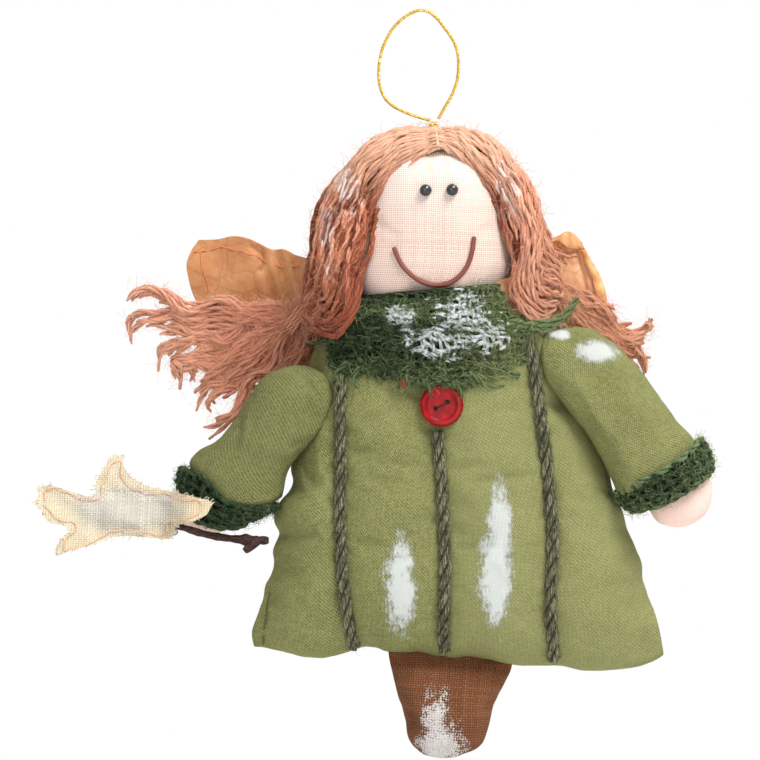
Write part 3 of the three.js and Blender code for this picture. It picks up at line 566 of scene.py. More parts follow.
def subdivide(item):
    """One round of subdivision, applied."""
    modifier = item.modifiers.new("smoother", "SUBSURF")
    modifier.levels = 1
    modifier.render_levels = 1
    modifier.boundary_smooth = "PRESERVE_CORNERS"
    made = plain_mesh(item)
    item.modifiers.clear()
    old = item.data
    made.name = old.name
    item.data = made
    bpy.data.meshes.remove(old)


# Geometry nodes: a guide line becomes a yarn of twisted plies
def geometry(tree, kind, *inputs, **settings):
    return put(tree, "GeometryNode" + kind, inputs, **settings).outputs[0]


def stored(tree, shape, name, value, kind="FLOAT_VECTOR"):
    return geometry(tree, "StoreNamedAttribute", (0, shape), ("Name", name), ("Value", value),
                    data_type=kind, domain="POINT")


def read(tree, name, kind="FLOAT_VECTOR"):
    return geometry(tree, "InputNamedAttribute", ("Name", name), data_type=kind)


plied, given, result = group("plied_yarn", [("Guides", "Geometry"), ("Plies", "Int"), ("Ply share", "Float"),
                                            ("Offset share", "Float"), ("Twist", "Float"), ("Sides", "Int"),
                                            ("Material", "Material")], [("Yarn", "Geometry")],
                             "GeometryNodeTree")
lines = geometry(plied, "MeshToCurve", (0, given["Guides"]))
copies = put(plied, "GeometryNodeDuplicateElements", (("Geometry", lines), ("Amount", given["Plies"])),
             domain="SPLINE")
travelled = put(plied, "GeometryNodeSplineParameter").outputs["Length"]
thickness = read(plied, "thickness", "FLOAT")
phase = calc(plied, "DIVIDE", calc(plied, "MULTIPLY", copies.outputs[1], TURN), given["Plies"])
turn = calc(plied, "MULTIPLY_ADD", travelled, given["Twist"], phase)
normal = geometry(plied, "InputNormal")
beside = vector(plied, "CROSS_PRODUCT", geometry(plied, "InputTangent"), normal)
swing = calc(plied, "MULTIPLY", thickness, given["Offset share"])
out_way, side_way = [vector(plied, "SCALE", way, scale=calc(plied, "MULTIPLY", calc(plied, wave, turn),
                                                            swing))
                     for way, wave in ((normal, "COSINE"), (beside, "SINE"))]
marked = stored(plied, copies.outputs[0], "away", vector(plied, "ADD", out_way, side_way))
away = read(plied, "away")
coiled = geometry(plied, "SetPosition", (0, marked), ("Offset", away))
place = geometry(plied, "InputPosition")
measured = stored(plied, stored(plied, coiled, "core", place), "along", travelled, "FLOAT")
circle = geometry(plied, "CurvePrimitiveCircle", ("Resolution", given["Sides"]), ("Radius", 1.0))
swept = geometry(plied, "CurveToMesh", (0, measured), (1, stored(plied, circle, "round", place)),
                 (2, calc(plied, "MULTIPLY", thickness, given["Ply share"])), (3, True))
# proud: how far each point faces out of the yarn, read by the yarn materials for painted shade between the
# plies.
radial = vector(plied, "NORMALIZE", vector(plied, "SUBTRACT", place, read(plied, "core")))
facing_out = vector(plied, "DOT_PRODUCT", radial, vector(plied, "NORMALIZE", away))
single = calc(plied, "LESS_THAN", given["Offset share"], 0.01)
yarn = stored(plied, swept, "proud", calc(plied, "ADD", facing_out, single), "FLOAT")
for spare in ("away", "core"):
    yarn = geometry(plied, "RemoveAttribute", (0, yarn), ("Name", spare))
yarn = geometry(plied, "RealizeInstances", (0, geometry(plied, "SetShadeSmooth", (0, yarn))))
plied.links.new(geometry(plied, "SetMaterial", (0, yarn), ("Material", given["Material"])), result["Yarn"])

# Geometry nodes: loose fibres stand off a surface
stray, given, result = group("stray_fibres", [("Surface", "Geometry"), ("Density", "Float"),
                                              ("Length", "Float"), ("Thickness", "Float"), ("Seed", "Int"),
                                              ("Material", "Material")],
                             [("Fibres", "Geometry")], "GeometryNodeTree")
spots = put(stray, "GeometryNodeDistributePointsOnFaces",
            ((0, given["Surface"]), ("Density", given["Density"]), ("Seed", given["Seed"]))).outputs
bend = geometry(stray, "CurveQuadraticBezier", (0, 3), (1, (0, 0, 0)), (2, (0.35, 0, 0.5)),
                (3, (1.0, 0.2, 0.28)))
hair_ring = geometry(stray, "CurvePrimitiveCircle", ("Resolution", 3), ("Radius", 1.0))
thin = calc(stray, "DIVIDE", given["Thickness"], given["Length"])
one_fibre = geometry(stray, "CurveToMesh", (0, bend), (1, hair_ring), (2, thin), (3, True))
lean = put(stray, "FunctionNodeRandomValue",
           ((0, (-0.45, -0.45, 0.0)), (1, (0.45, 0.45, 6.28)), ("Seed", given["Seed"])),
           data_type="FLOAT_VECTOR").outputs[0]
leaning = put(stray, "FunctionNodeEulerToRotation", ((0, lean),)).outputs[0]
pose = put(stray, "FunctionNodeRotateRotation", ((0, spots[2]), (1, leaning)),
           rotation_space="LOCAL").outputs[0]
size_seed = calc(stray, "ADD", given["Seed"], 3)
growth = put(stray, "FunctionNodeRandomValue", ((2, 0.35), (3, 1.0), ("Seed", size_seed)),
             data_type="FLOAT").outputs[1]
sown = geometry(stray, "InstanceOnPoints", (0, spots[0]), ("Instance", one_fibre), ("Rotation", pose),
                ("Scale", calc(stray, "MULTIPLY", growth, given["Length"])))
fibres = geometry(stray, "RealizeInstances", (0, sown))
stray.links.new(geometry(stray, "SetMaterial", (0, fibres), ("Material", given["Material"])),
                result["Fibres"])


def grown(name, tree, mesh, values):
    """Runs a geometry tree on a mesh and returns the plain mesh that it makes."""
    holder = bpy.data.objects.new(name + "_guide", mesh)
    scene.collection.objects.link(holder)
    modifier = holder.modifiers.new("grow", "NODES")
    modifier.node_group = tree
    for item in tree.interface.items_tree:
        if item.in_out == "INPUT" and item.name in values:
            modifier[item.identifier] = values[item.name]
    made = plain_mesh(holder)
    made.name = name
    bpy.data.objects.remove(holder)
    return made


def yarns(name, paths, widths, tones, material, plies=2, twist=1.0, sides=5):
    """Yarn along each path: widths are one for each path or each point, twist is in turns for each 10 mm."""
    edges = []
    start = 0
    thick = []
    shade = []
    for path, width, tone in zip(paths, widths, tones):
        edges.extend((start + index, start + index + 1) for index in range(len(path) - 1))
        start += len(path)
        thick.append(np.broadcast_to(width, (len(path),)) / 2 * MM)
        shade.append(np.broadcast_to(tone, (len(path),)))
    mesh = bpy.data.meshes.new(name + "_lines")
    mesh.from_pydata((np.concatenate(paths) * MM).tolist(), edges, [])
    add_values(mesh, "thickness", np.concatenate(thick))
    add_values(mesh, "tone", np.concatenate(shade))
    ply, offset = PLY_SHARES[plies]
    return grown(name, plied, mesh, {"Plies": plies, "Ply share": ply, "Offset share": offset,
                                     "Twist": twist * 100 * TURN, "Sides": sides, "Material": material})


def yarn_piece(name, paths, widths, tones, material, plies, twist, sides, body, finish, nodes=()):
    mesh = yarns(name, paths, widths, tones, material, plies, twist, sides)
    return piece(name, mesh, body, material, nodes)


def fuzz_piece(name, base, density, length, width, seed, material, body):
    """Loose fibres on a piece: density is for each square centimetre, lengths are in millimetres."""
    mesh = grown(name, stray, base.data.copy(), {"Density": density * 1e4, "Length": length * MM,
                                                 "Thickness": width / 2 * MM, "Seed": seed,
                                                 "Material": material})
    return piece(name, mesh, body, material)


def wavering(chance, count, size, smooth):
    """A slow random wander of one value along a line."""
    knots = chance.normal(0, size, max(3, count // smooth + 2))
    return np.interp(np.linspace(0, len(knots) - 1, count), np.arange(len(knots)), knots)


def about_y(angle):
    """The matrix that turns points about the Y axis."""
    return np.array([[math.cos(angle), 0, math.sin(angle)], [0, 1, 0],
                     [-math.sin(angle), 0, math.cos(angle)]])


# The hanging loop: a gold cord of twisted strands, from knot to knot
loop_path = line_through([(2.9, 0, -26), (-0.6, 0, -25), (-4.3, 0, -23.5), (-6.5, 0, -22.2), (-8, 0, -20.6),
                          (-8.9, 0, -18.6), (-9.4, 0, -15.9), (-9.3, 0, -12.6), (-8.7, 0, -9.4),
                          (-7.5, 0, -6.4), (-5.9, 0, -3.8), (-3.7, 0, -1.6), (-1.5, 0, -0.2), (0.4, 0, 0.4),
                          (2.4, 0, 0.1), (4.5, 0, -1.5), (6.7, 0, -4.3), (8.7, 0, -7.3), (9.6, 0, -10.4),
                          (9.7, 0, -13.7), (9.2, 0, -17.1), (8.1, 0, -20), (6.6, 0, -22.6), (4.9, 0, -25.6)],
                         200)
gold, tree, shader, place = new_material("gold_thread")
wraps = use(tree, spun, ("Round", attribute(tree, "round", "Vector")), ("Along", attribute(tree, "along")),
            ("Twist", 2600.0), ("Fineness", 3.0))
# Pale specks in the gold's colour: painted glints.
glint = noise(tree, place, 1500.0)
base = mixed(tree, ramp(tree, wraps["Streak"], 0.35, 0.65), colour(150, 108, 30), colour(247, 208, 92))
base = mixed(tree, ramp(tree, glint, 0.58, 0.7), base, colour(255, 238, 170))
surface(shader, 0.34, 0.5)
shader.inputs["Metallic"].default_value = 0.75
finish_material(tree, shader, base, wraps["Height"], 0.00008)
loop = yarn_piece("gold_loop", [loop_path], [0.84], [0.5], gold, 3, 5.5, 6, "loop", "gold_cord",
                  ["hanging_loop"])

# The stuffed forms, before they are blown up
COAT_ROWS = 84
COAT_PANEL = 24
coat_lines = [
    [(-12.5, -70.6), (-19.5, -76), (-25.2, -81.5), (-26.4, -87), (-26.4, -93), (-27.4, -98.6),
     (-29.6, -104.6), (-30.6, -110.1), (-30.2, -113.2), (-31.1, -115), (-32.9, -116.9), (-34.7, -120.3),
     (-34.6, -122.7), (-33.4, -124.9), (-34.3, -127.2), (-35.1, -129.4), (-34.8, -131.6), (-35.4, -134.6),
     (-36.9, -137.4), (-37.5, -140.6), (-39.1, -145.1), (-40.2, -149.1), (-39.6, -152.6)],
    [(-5, -70.6), (-13.5, -79), (-18.2, -88), (-18.4, -106), (-18.6, -122), (-17.6, -140), (-15, -154)],
    [(4, -70.4), (3.6, -84), (4, -98.5), (5.3, -110.5), (6.3, -130), (6.1, -146), (6.2, -154.6)],
    [(12.5, -70), (22, -74.5), (27.2, -80), (28.2, -90), (30.3, -106.7), (31.9, -126), (31.5, -144),
     (32.6, -157)],
    [(19.5, -69.6), (27.4, -72.4), (33.8, -76.6), (36.4, -82), (36.6, -88), (38, -93.4), (41.6, -98.8),
     (45, -104.8), (46.3, -111.2), (47.2, -115.2), (49.2, -119.5), (50.5, -123.9), (52.6, -128.5),
     (54.1, -132.7), (54.2, -135.4), (55.3, -138.9), (57, -143.4), (58.6, -149.4), (59.4, -154)]]
coat_hem = [(-41, -152.6), (-36.9, -152.8), (-32, -154), (-27.6, -155.1), (-22.7, -155.4), (-18.7, -154.5),
            (-12.9, -152.6), (-9.8, -152.9), (-7.6, -153.8), (-3.1, -154), (0.4, -154), (3.5, -154.9),
            (8.3, -155.6), (12, -155.1), (18.8, -156.3), (24.4, -157.2), (29.9, -157.2), (34.5, -157.2),
            (39.5, -158.4), (44.1, -158.4), (48.7, -158), (53.3, -157.4), (57, -156), (60, -154)]
head_lines = [[(-1.5, -32.6), (-8, -35.8), (-12.6, -43), (-14.8, -51), (-16, -59), (-16.4, -65),
               (-13.6, -70.2)],
              [(10.4, -32.4), (15.8, -36.4), (20, -44), (21.6, -51.6), (23, -58.8), (22.6, -63), (20, -66.6),
               (16.6, -68.8)]]
leg_lines = [[(-7.6, -151.8), (-7.3, -155.2), (-6.2, -159.4), (-5, -164.4), (-3.4, -170), (-2.3, -174.6),
              (0.4, -177.7)],
             [(23.2, -153.6), (22.8, -157.6), (20.8, -161.6), (18.4, -167.2), (17, -172), (15.6, -175.4),
              (11.4, -177.9)]]
sleeve_lines = {
    "left": [[(-31.6, -84.9), (-36.6, -87.4), (-41.3, -93.1), (-44.2, -97.6), (-48.6, -102.8), (-52.6, -105),
              (-54.8, -107.6), (-54.4, -110), (-54, -112)],
             [(-26, -85), (-21.4, -87.6), (-19.9, -92.6), (-22.2, -98.4), (-26.2, -104), (-30.4, -108.6),
              (-32.4, -114)]],
    "right": [[(36, -75.8), (30.2, -77), (29, -81.4), (29.4, -87), (34.6, -94.6), (40.8, -102.8),
               (45.6, -111.6), (48.2, -117)],
              [(41.8, -75.9), (47.2, -79.6), (53.2, -85.6), (58.2, -92.4), (62.4, -98.2), (66, -102.4),
               (67.6, -107)]]}
sleeve_hems = {"left": [(-55, -111.4), (-51.8, -114.6), (-46, -119.2), (-41, -120), (-36, -119),
                        (-31, -115.6)],
               "right": None}
hand_lines = {
    "left": [[(-56.6, -115.5), (-57.4, -119.5), (-56.6, -122.6), (-54.2, -125)],
             [(-44.8, -116), (-44.4, -119.6), (-45.4, -123), (-47.8, -125.4)]],
    "right": [[(52.6, -113.6), (54.2, -117), (55.3, -119.8), (57, -122.2), (60.4, -123.4)],
              [(69.2, -107.4), (70.3, -111.5), (70.2, -117.1), (69, -120.2), (65.6, -122.8)]]}


def coat_depth(over, down, local):
    fullness = 13.4 * (0.56 + 0.44 * rounding(down, 0.5)) * rounding(1 - down, 0.3)
    body = fullness * np.maximum(0, 1 - np.abs(over) ** 3.2) ** 0.5
    armhole = np.sin(np.pi * np.clip((down - 0.04) / 0.5, 0, 1))
    body *= 1 - 0.55 * armhole * np.clip((np.abs(over) - 0.55) / 0.45, 0, 1)
    dip = 2.6 * (1 - np.sin(np.pi * np.clip(local, 0, 1)) ** 0.55)
    inner = (np.abs(over) < 0.99)
    return np.maximum(body - dip * inner * np.minimum(1, body / 4), 0.15 * (body > 0))


def head_depth(over, down, local):
    return (12.6 * rounding(down, 0.36) * (0.8 + 0.2 * rounding(1 - down, 0.25)) * rounding(1 - down, 0.06)
            * np.maximum(0, 1 - np.abs(over) ** 3.4) ** 0.5)


def sleeve_depth(over, down, local):
    return 8.6 * rounding(down, 0.32) * np.maximum(0, 1 - np.abs(over) ** 3) ** 0.5 * (1 - 0.1 * down ** 4)


def leg_depth(over, down, local):
    root = np.sin(np.pi * np.clip(down - 0.06, 0.01, 0.5)) ** 1.1
    return 7.6 * root * rounding(1 - down, 0.3) * np.maximum(0, 1 - np.abs(over) ** 2.4) ** 0.5


def hand_depth(over, down, local):
    return 5.1 * rounding(1 - down, 0.6) * np.maximum(0, 1 - np.abs(over) ** 2.4) ** 0.5


def behind_sleeves(over, x, z):
    """The coat's side seams lie further back where a sleeve hangs in front of them."""
    edge = np.clip((np.abs(over) - 0.7) / 0.3, 0, 1)
    level = np.clip((z + 116) / 8, 0, 1) * np.clip((-72 - z) / 5, 0, 1)
    return 4.2 * edge ** 2 * (3 - 2 * edge) * level


# Cloths: each dab of paint is its middle, its size and how ragged it is
coat_green = ((120, 121, 70), (156, 157, 98), (180, 180, 120))
coat_dabs = [(-4.4, -13, -137, 3.9, 18, 12, 1.3), (19.4, -13, -124, 3.2, 18, 12, 1.1),
             (18.2, -13, -134.5, 4.2, 18, 13, 1.3)]
sleeve_dabs = {"left": (), "right": [(42.2, -10, -81.8, 5.8, 13, 3.1, 0.8),
                                     (33.8, -10, -77.4, 3, 13, 1.5, 1.0)]}
# The coat's colour is painted paler to the right of its middle: painted light.
coat_cloth = cloth_material("coat_cotton", coat_green, COTTON_PITCH, 0.35, 0.0002, coat_dabs, twill=1.0,
                            gap_shade=0.2, vary=0.64, lit=[(0, 2, 8, 0.35, (186, 186, 126))])
# The left sleeve is the same cloth scaled darker: painted shade on the side away from the key lamp.
sleeve_cloths = {side: cloth_material("sleeve_cotton_" + side, coat_green, COTTON_PITCH, 0.35, 0.0002,
                                      sleeve_dabs[side], twill=1.0, gap_shade=0.2, vary=0.62,
                                      painted_shade_scale=painted_shade_scale)
                 for side, painted_shade_scale in (("left", 0.84), ("right", 1.0))}
# Painted light on the top of the face and its left cheek, and painted shade on its lower part.
head_cloth = cloth_material("head_muslin", ((220, 188, 170), (240, 212, 197), (247, 224, 211)), MUSLIN_PITCH,
                            0.5, 0.00014, patch=0.2, gap_shade=0.6, sheen=0.1, vary=0.4,
                            lit=[(2, -56, -36, 0.7, (250, 240, 229)), (2, -56, -70, 0.62, (232, 202, 188)),
                                 (0, 0, -17, 0.45, (255, 234, 224))])
# The hands' muslin is paler than the head's, with less shade in its weave: painted light where the cuffs
# shade the hands.
hand_muslin = cloth_material("hand_muslin", ((238, 200, 184), (248, 214, 201), (252, 222, 210)),
                             MUSLIN_PITCH, 0.5, 0.0001, patch=0.2, gap_shade=0.82, sheen=0.1)
# The linen is painted darker towards the bottom of the foot: painted shade.
leg_cloth = cloth_material("leg_linen", ((98, 57, 32), (130, 82, 52), (158, 108, 76)), LINEN_PITCH, 0.45,
                           0.00024, [(5.4, -6, -176.4, 5.4, 9.5, 6.8, 2.2),
                                     (4.4, -6, -171, 3.4, 9.5, 8.4, 2.6)],
                           gap_shade=0.3, paint=(214, 208, 202), vary=0.34, brush=(2.4, 1.0, 2.4),
                           lit=[(2, -162, -178, 0.5, (118, 70, 42))])
blown_up = []


def padded_piece(name, form, body, material, nodes, swell, channels=()):
    """A stuffed piece, sewn round its outline and along each channel.

    The swell is the pressure in it, how much its cloth may grow and how far a point may move."""
    points, faces, chart, front, back = form
    item = shaped_piece(name, (points, faces), body, material, nodes, chart)
    sewn = [front[0], front[-1], front[:, 0], front[:, -1], back[0]]
    for column in channels:
        sewn += [front[:, column], back[:, column]]
    blown_up.append((item, list(dict.fromkeys(np.concatenate(sewn).tolist())), *swell))
    return item


coat_form = stuffed(coat_lines, COAT_PANEL, COAT_ROWS, coat_depth, top=True, shift=behind_sleeves,
                    hem=coat_hem)
padded_piece("coat", coat_form, "doll", coat_cloth,
             ["coat_front", "coat_back", "coat_filling"], (3.0, 0.03, 1.6),
             [COAT_PANEL, 2 * COAT_PANEL, 3 * COAT_PANEL])
head = padded_piece("head", stuffed(head_lines, 40, 40, head_depth), "doll", head_cloth,
                    ["head_front", "head_back", "head_filling"], (3.0, 0.02, 1.0))
padded_piece("leg", stuffed(leg_lines, 28, 26, leg_depth, sag=1.4), "foot", leg_cloth,
             ["leg_front", "leg_back", "leg_filling"], (3.0, 0.04, 1.0))
for side, inner, droop in (("left", 1, 0.0), ("right", -1, 1.4)):

    def over_coat(over, x, z):
        """The sleeve's inner edge lies forward, on the coat."""
        return -3.2 * np.clip((over * inner - 0.1) / 0.9, 0, 1) ** 2 * np.clip((z + 116) / 10, 0, 1)

    sleeve_form = stuffed(sleeve_lines[side], 36, 46, sleeve_depth, -4.0, sag=droop, shift=over_coat,
                          hem=sleeve_hems[side])
    padded_piece("sleeve_" + side, sleeve_form, "arm_" + side, sleeve_cloths[side],
                 [f"sleeve_{side}_{part}" for part in ("front", "back", "filling")], (3.0, 0.035, 1.2))
    hand_form = stuffed(hand_lines[side], 22, 14, hand_depth, -4.0, sag=0.5, top=True)
    padded_piece("hand_cloth_" + side, hand_form, "arm_" + side, hand_muslin, ["hand_" + side],
                 (2.0, 0.02, 0.6))
puff(blown_up)
for item, *_ in blown_up:
    subdivide(item)


def coat_surface(x, z):
    """How far forward the coat's front is at a place, read from its nearest grid point."""
    grid = coat_form[0][coat_form[3].ravel()]
    return grid[nearest(grid, x, z), 1]


def front_of(item, x, z):
    """How far forward a finished piece's front is at a place."""
    points = coordinates(item.data) / MM
    points = points[points[:, 1] < np.median(points[:, 1])]
    return points[nearest(points, x, z), 1]


# Hair: strands drape from the parting to a tie at each shoulder, and tails fan out beyond it
HAIR_COLUMNS = 81
HAIR_STEPS = 50
HAIR_STRANDS = 134
TAIL_DEPTH = 8.4
hair_guides = {
    "left": [
        [(5, -9.6, -33), (1.5, -10.2, -34.6), (-4, -10, -40), (-8.4, -9.4, -46.3), (-10.1, -9.8, -54.7),
         (-12.8, -11.6, -62), (-15, -14.8, -69.6), (-15.6, -16, -73.6), (-18, -15, -77),
         (-22.4, -10.5, -77.2), (-26, -1, -75)],
        [(4.6, -5, -29.8), (-2.6, -8.5, -31.5), (-9.6, -10, -37), (-14.4, -10.4, -45), (-16.8, -11.2, -54),
         (-18.6, -12.4, -63), (-20, -13, -70.6), (-21.6, -10.6, -75.6), (-24, -5.6, -76.4),
         (-26.4, 1, -74.8)],
        [(4.2, 1, -28.7), (-2.5, 0.5, -28.9), (-9.2, 0.6, -31), (-14, 0.7, -35.2), (-19.4, 1, -41.5),
         (-22.9, 1, -48), (-24.4, 1, -56), (-26, 1.2, -62.5), (-27.2, 2.6, -68)],
        [(4.2, 7, -30.5), (-2, 9, -32), (-9, 11.5, -37), (-15, 13, -44), (-19, 13.6, -52), (-22, 13, -60),
         (-24.5, 11, -67)],
        [(4.1, 11.5, -36), (-1, 13.6, -40), (-5, 15, -47), (-9, 15.6, -54), (-13, 15.6, -61),
         (-18.5, 14, -67.5), (-23.5, 11, -70.5)],
        [(4, 12.8, -45), (0.5, 14.4, -50), (-4, 15.4, -56), (-9, 15.4, -62), (-15, 14.4, -67),
         (-21, 12.4, -70.6)],
        [(4, 14.8, -66.6), (-1, 15, -68.2), (-7, 14.8, -69.8), (-14, 13.8, -71.6), (-21, 11.4, -72.8)]],
    "right": [
        [(6.4, -9.6, -32.8), (9.4, -10, -34.8), (13.4, -9.6, -39.6), (17, -8.6, -45.4), (19.7, -8.2, -51),
         (21.7, -8.8, -57), (22.4, -10.4, -62.4), (22, -12.4, -67.6), (23.6, -12.8, -71.6),
         (27.4, -10.6, -73.8), (31.4, -2, -70)],
        [(5, -5, -29.7), (10, -8.5, -31.3), (15.6, -9.4, -36), (20.4, -9, -43), (23.6, -8.8, -50),
         (25.7, -10, -57), (26.3, -11.4, -64), (27.2, -10.8, -69.6), (30.2, -7.2, -71.8), (32.6, 0, -68.6)],
        [(4.6, 1, -28.7), (8.4, 0.6, -28.8), (14.6, 0.6, -30.4), (20.2, 0.7, -34.4), (24.6, 1, -40),
         (27.6, 1, -47), (29.9, 1, -53.6), (31.2, 2, -58.4)],
        [(4.4, 7, -30.5), (10, 9, -31.8), (16.4, 11.4, -36), (21.8, 13, -42), (25.6, 13.6, -49),
         (28.2, 12.4, -56), (30, 9.6, -60)],
        [(4.6, 11.5, -36), (9, 13.6, -40), (13, 15, -46), (17, 15.6, -51.6), (21.6, 15, -56.6),
         (27, 12, -60.4)],
        [(4.5, 12.8, -45), (8, 14.4, -49), (13, 15.4, -54), (19, 15.2, -58.4), (26, 12.4, -61.6)],
        [(4.5, 14.8, -66.6), (9, 15, -67.4), (15, 14.8, -67.6), (22, 13.6, -66.6), (27.6, 11, -65)]]}
hair_ties = {"left": (-28.6, 6.6, -72.4), "right": (31.2, 6.6, -62.4)}
hair_locks = {
    "left": [
        [(-33.9, -70.3), (-43, -71.7), (-47.8, -69.9), (-53.6, -71.4), (-56.5, -71.4), (-59.4, -69.2),
         (-61.9, -67.4), (-65.9, -66.8), (-69.2, -68.1), (-70.1, -69.2)],
        [(-37.6, -71.7), (-46.3, -72.5), (-51.4, -73.2), (-55, -73.6), (-59.4, -71.7), (-63, -73.2),
         (-66.6, -73.2), (-69.2, -74.6), (-69.2, -77.9)],
        [(-40, -73.4), (-51.4, -76.1), (-54.3, -77.2), (-57.6, -75.4), (-60.5, -75), (-63, -75.4),
         (-62.8, -77.6)],
        [(-41.2, -75.4), (-47, -79.7), (-51.4, -78.3), (-55.7, -79), (-59.4, -80.1), (-61.9, -81.9),
         (-62.3, -84.1)],
        [(-38, -77), (-48.5, -82.7), (-52.1, -82.7), (-55.7, -83.7), (-59.4, -84.1), (-57.6, -86.3),
         (-57.6, -90.6)],
        [(-37, -78.4), (-46.6, -84.5), (-50.6, -84.8), (-54.3, -84.8), (-53.6, -87.7), (-55.4, -89.6)],
        [(-36, -80), (-41.2, -84.5), (-46.3, -88.1), (-51.4, -89.2), (-52.8, -91), (-53.9, -93.9)],
        [(-36, -81), (-43, -88.1), (-46.3, -90.3), (-48.5, -91.4), (-50.6, -92.5), (-49.2, -94.3)],
        [(-32.6, -79), (-35.7, -86.3), (-41.2, -89.2), (-42.6, -92.8), (-44.1, -96.1), (-47, -98.3),
         (-49.2, -99.4), (-51.7, -100.8)],
        [(-37, -72), (-44, -75.4), (-50, -80.4), (-55, -81.4), (-58.6, -82.4)],
        [(-34, -76), (-39.6, -82.6), (-44.6, -86.4), (-49.6, -87), (-52.6, -88.6)],
        [(-27, -79), (-29, -84), (-33, -89), (-37.6, -93)],
        [(-24, -79), (-24.6, -83), (-28, -88), (-32, -91)],
        [(-30, -80), (-33.6, -85.4), (-38, -90), (-41.4, -95.4)],
        [(-22.4, -76), (-21.6, -80), (-24, -85), (-27, -88)],
        [(-35, -73.6), (-42, -78), (-47.6, -84.4), (-52, -86.4)]],
    "right": [
        [(31.6, -65.5), (34.8, -69.4), (37.4, -72.6), (42.2, -75.2), (47, -76.4), (49.6, -78.4), (52.8, -78),
         (54.7, -76.4), (56.4, -74.2), (55.1, -72.6), (53.8, -74.2)],
        [(35.4, -70.2), (42.5, -76), (47.4, -79), (50.2, -81.2), (53.4, -82.5), (56.2, -81.7)],
        [(36, -69), (45, -76.4), (50, -77.6), (53.1, -80.9), (54.7, -83.5), (55, -85.8)],
        [(35, -69.6), (42.6, -75.6), (48, -79.4), (50.2, -82.4), (53.1, -84.8), (54.1, -86.4)],
        [(37.4, -69), (42.2, -70), (46.4, -71.9), (48.6, -73.8)],
        [(34.6, -66), (39, -69.4), (44, -74), (48.6, -76.2), (51.8, -75.4)],
        [(33, -67.4), (35.4, -71.6), (38, -76), (42, -80)],
        [(30.6, -67), (31.6, -71), (34, -75), (37.6, -78.6)],
        [(29.6, -63), (33, -64), (36, -68), (39.4, -71.6)]]}


def hair_sheet(guides, tie):
    """The even sheet that the strands lie on, from the face round to the back, drawn together at the tie."""
    rails = []
    for number, guide in enumerate(guides):
        angle = -1.5 + 3.0 * number / (len(guides) - 1)
        end = (tie[0], tie[1] + 2.4 * math.sin(angle), tie[2] + 2.4 * math.cos(angle))
        rails.append(line_through(guide + [end], HAIR_STEPS))
    rails = np.array(rails)
    columns = [line_through(rails[:, step], HAIR_COLUMNS) for step in range(HAIR_STEPS)]
    return np.array(columns).transpose(1, 0, 2)


def off_the_head(places, rise=1.0):
    """The way out from the middle of the head at each place."""
    outward = xyz(places[..., 0] - 4, places[..., 1] * 1.25, np.clip(places[..., 2] + 38, 0, 12) * rise)
    return outward / (np.linalg.norm(outward, axis=-1)[..., None] + 1e-6)


def draped_strands(sheet, chance):
    """Strands along the sheet, in two layers, waving together with their neighbours."""
    paths = []
    share = np.linspace(0, 1, HAIR_STEPS)
    every = np.arange(HAIR_STEPS)
    for number in range(HAIR_STRANDS):
        place = (number + 0.5) / HAIR_STRANDS * (HAIR_COLUMNS - 1) + chance.normal(0, 0.3)
        clump = TURN * (place / 5.2 + 0.35 * np.sin(4 * share + 0.4 * place))
        drawn = 0.9 * np.sin(clump) * np.sin(np.pi * np.clip(share * 1.5, 0, 1))
        wander = place - drawn + wavering(chance, HAIR_STEPS, 1.0, 12) * np.sin(np.pi * share)
        wander = np.clip(wander, 0, HAIR_COLUMNS - 1.001)
        index = wander.astype(int)
        part = (wander - index)[:, None]
        base = sheet[index, every] * (1 - part) + sheet[index + 1, every] * part
        outward = off_the_head(base, 1.2)
        along_way = np.gradient(base, axis=0)
        along_way /= np.linalg.norm(along_way, axis=1)[:, None] + 1e-9
        sideways = np.cross(along_way, outward)
        length = np.linalg.norm(np.diff(base, axis=0), axis=1).sum()
        wave_length = 11.5 + 2.5 * math.sin(number * 0.21)
        wave_start = 3 * math.sin(number * 0.13) + chance.normal(0, 0.45)
        wave = np.sin(TURN * share * length / wave_length + wave_start)
        swell = np.sin(np.pi * np.clip(share * 1.04, 0, 1)) ** 0.5
        lift = 0.1 + number % 2 * 0.8 + 0.55 * np.cos(clump) + wavering(chance, HAIR_STEPS, 0.35, 7)
        base = base + outward * (lift * swell)[:, None]
        paths.append(base + sideways * (wave * chance.uniform(0.45, 1.05) * swell)[:, None])
    return paths


def tail_strands(locks, tie, each, chance):
    """Strands that leave the tie along each lock, spread out and curl at their ends."""
    paths = []
    for lock in locks:
        outer = [(x, TAIL_DEPTH + 0.6 * math.sin(index * 1.3 + x), z) for index, (x, z) in enumerate(lock)]
        line = line_through([tie] + outer, 38)
        for number in range(each):
            cut = int(chance.integers(30, 39))
            path = line[:cut].copy()
            share = np.linspace(0, 1, cut)
            spread = 0.35 + 1.2 * np.sin(np.pi * share ** 0.8) + 0.25 * share
            angle = TURN * number / each + chance.normal(0, 0.5)
            _, side_way, up_way = frames_along(path)
            radius = chance.uniform(0.3, 1.0)
            coil = angle + share * chance.uniform(-2.5, 2.5)
            path += side_way * (np.cos(coil) * radius * spread)[:, None]
            path += up_way * (np.sin(coil) * radius * spread)[:, None]
            curl = np.clip((share - 0.78) / 0.22, 0, 1) ** 2 * chance.uniform(0.4, 2.4)
            path[:, 2] += curl * chance.choice([-1, -1, 0.5])
            start = np.clip(1 - share / 0.15, 0, 1)
            path[:, 1] += math.cos(angle) * 2.0 * start
            path[:, 2] += math.sin(angle) * 2.6 * start
            wobble = wavering(chance, cut, 0.3, 4) + 0.55 * np.sin(TURN * share * 2.4 + lock[0][1]
                                                                   + 0.5 * number)
            path[:, 2] += wobble * np.clip(share * 4, 0, 1)
            path[:, 1] = np.maximum(path[:, 1], TAIL_DEPTH - 1.8)
            paths.append(path)
    return paths


